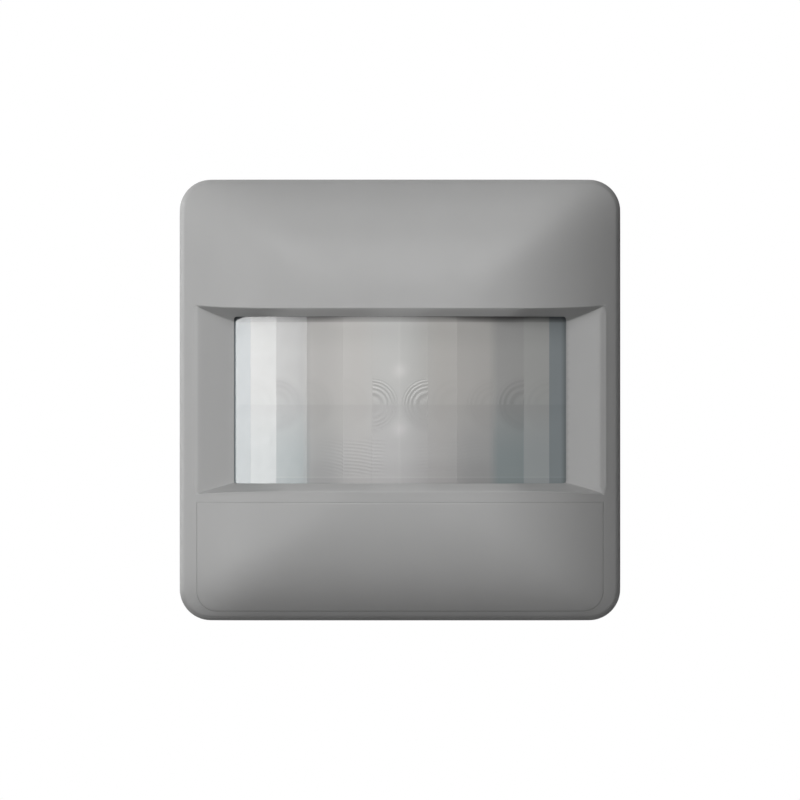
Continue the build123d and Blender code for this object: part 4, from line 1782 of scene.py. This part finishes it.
@dataclass
class Studio:
    """Lamps, a pale floor, white surroundings and the camera."""

    plate_side: float = 0.071
    plate_pixels: float = 441.0
    picture_pixels: float = 800.0
    camera_away: float = 2.0
    plate_depth: float = 0.012
    sensor: float = 36.0
    floor_drop: float = 0.075
    floor_side: float = 6.0
    floor_shade: float = 0.85
    floor_rough: float = 0.9
    fade_from: float = 0.1
    fade_to: float = 0.3
    ambient: float = 0.05
    nearest: float = 0.1
    farthest: float = 20.0
    lamps: Sequence[SoftBox] = (
        SoftBox("key", -10.0, 20.0, 2.6, 1.5, 2.1, 0.4),
        SoftBox("fill", 4.0, 22.0, 2.6, 1.4, 1.6, 0.28),
        SoftBox("bright_side", -63.0, 1.0, 1.2, 0.55, 0.14, 0.195),
        SoftBox("soft_side", -44.0, 1.0, 1.2, 0.26, 0.14, 0.055),
        SoftBox("left", -100.0, 6.0, 1.2, 0.6, 0.5, 0.08),
        SoftBox("left_rim", -130.0, 0.0, 1.2, 0.5, 1.0, 0.35),
        SoftBox("top", 0.0, 80.0, 1.2, 0.6, 0.6, 0.15),
    )
    cards: Sequence[DarkCard] = (
        DarkCard("right_card", 100.0, 0.0, 0.35, 3.0, 1.4),
        DarkCard("low_card", 0.0, -90.0, 0.07, 0.6, 0.6, 0.42),
    )

    def camera(self) -> None:
        """Aim a long camera straight at the middle of the plate."""
        camera = bpy.data.cameras.new("camera")
        camera.sensor_width = self.sensor
        view_wide = self.plate_side * self.picture_pixels / self.plate_pixels
        camera.lens = self.sensor * self.camera_away / view_wide
        camera.clip_start, camera.clip_end = self.nearest, self.farthest
        thing = linked("camera", camera)
        thing.location = (0.0, -self.camera_away - self.plate_depth, 0.0)
        thing.rotation_euler = (math.pi / 2, 0.0, 0.0)
        bpy.context.scene.camera = thing

    def seen(self, nodes: bpy.types.Nodes, links: bpy.types.NodeLinks) -> Socket:
        """One for rays that show the background itself: from the camera, a gloss or a glass.

        Args:
            nodes: the tree's nodes.
            links: its links.

        Returns:
            The share.
        """
        path = nodes.new("ShaderNodeLightPath")
        total = path.outputs["Is Camera Ray"]
        for kind in ("Is Glossy Ray", "Is Transmission Ray"):
            most = nodes.new("ShaderNodeMath")
            most.operation = "MAXIMUM"
            links.new(total, most.inputs[0])
            links.new(path.outputs[kind], most.inputs[1])
            total = most.outputs[0]
        return total

    def world(self) -> None:
        """White surroundings for what shows them, and a low even fill for the rest."""
        world = bpy.data.worlds.new("white")
        world.use_nodes = True
        nodes, links = world.node_tree.nodes, world.node_tree.links
        shown = nodes["Background"]
        shown.inputs["Color"].default_value = (1.0, 1.0, 1.0, 1.0)
        shown.inputs["Strength"].default_value = 1.0
        fill = nodes.new("ShaderNodeBackground")
        fill.inputs["Color"].default_value = (1.0, 1.0, 1.0, 1.0)
        fill.inputs["Strength"].default_value = self.ambient
        mix = nodes.new("ShaderNodeMixShader")
        links.new(self.seen(nodes, links), mix.inputs["Fac"])
        links.new(fill.outputs["Background"], mix.inputs[1])
        links.new(shown.outputs["Background"], mix.inputs[2])
        links.new(mix.outputs["Shader"], nodes["World Output"].inputs["Surface"])
        bpy.context.scene.world = world

    def floor(self) -> None:
        """A pale floor under the switch, which takes its shadow and fades into the white."""
        mesh = sheet("floor", self.floor_side, self.floor_side, -self.floor_drop)
        floor = linked("floor", mesh)
        tree = Tree("floor_white")
        tree.set(Base_Color=(*[self.floor_shade] * 3, 1.0), Roughness=self.floor_rough)
        links = tree.material.node_tree.links
        length = tree.nodes.new("ShaderNodeVectorMath")
        length.operation = "LENGTH"
        links.new(tree.place, length.inputs[0])
        fade = tree.nodes.new("ShaderNodeMapRange")
        fade.interpolation_type = "SMOOTHSTEP"
        fade.inputs["From Min"].default_value = self.fade_from
        fade.inputs["From Max"].default_value = self.fade_to
        links.new(length.outputs["Value"], fade.inputs["Value"])
        product = tree.nodes.new("ShaderNodeMath")
        product.operation = "MULTIPLY"
        links.new(fade.outputs["Result"], product.inputs[0])
        links.new(self.seen(tree.nodes, links), product.inputs[1])
        white = tree.nodes.new("ShaderNodeEmission")
        mix = tree.nodes.new("ShaderNodeMixShader")
        links.new(product.outputs[0], mix.inputs["Fac"])
        links.new(tree.shader.outputs["BSDF"], mix.inputs[1])
        links.new(white.outputs["Emission"], mix.inputs[2])
        links.new(mix.outputs["Shader"], tree.nodes["Material Output"].inputs["Surface"])
        mesh.materials.append(tree.material)

    def build(self) -> None:
        """Set up the whole studio."""
        scene = bpy.context.scene
        scene.view_settings.view_transform = "Standard"
        self.camera()
        self.world()
        self.floor()
        for stand in (*self.lamps, *self.cards):
            stand.place()


def dress_frame(frame: dict, wardrobe: Wardrobe) -> None:
    """Give every CAD node the finish of its slot.

    Args:
        wardrobe: the finishes.
    """
    for row in frame["record"]["subparts"]:
        node = frame["nodes"][row["node"]]
        wardrobe.dress(node, row["material_slot"])
        LOG.info("node %s has %s", row["node"], row["material_slot"])


def main() -> None:
    """Build the switch's looks around its frame."""
    logging.basicConfig(level=logging.INFO, format="%(message)s")
    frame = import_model()
    Studio().build()
    wardrobe = Wardrobe()
    dress_frame(frame, wardrobe)
    plate = FrontPlate()
    plate.build(wardrobe)
    ControlLid(plate).build(wardrobe)
    FresnelLens(plate.window.arc).build(wardrobe)
    Marks().build(wardrobe)


if __name__ == "__main__":
    main()
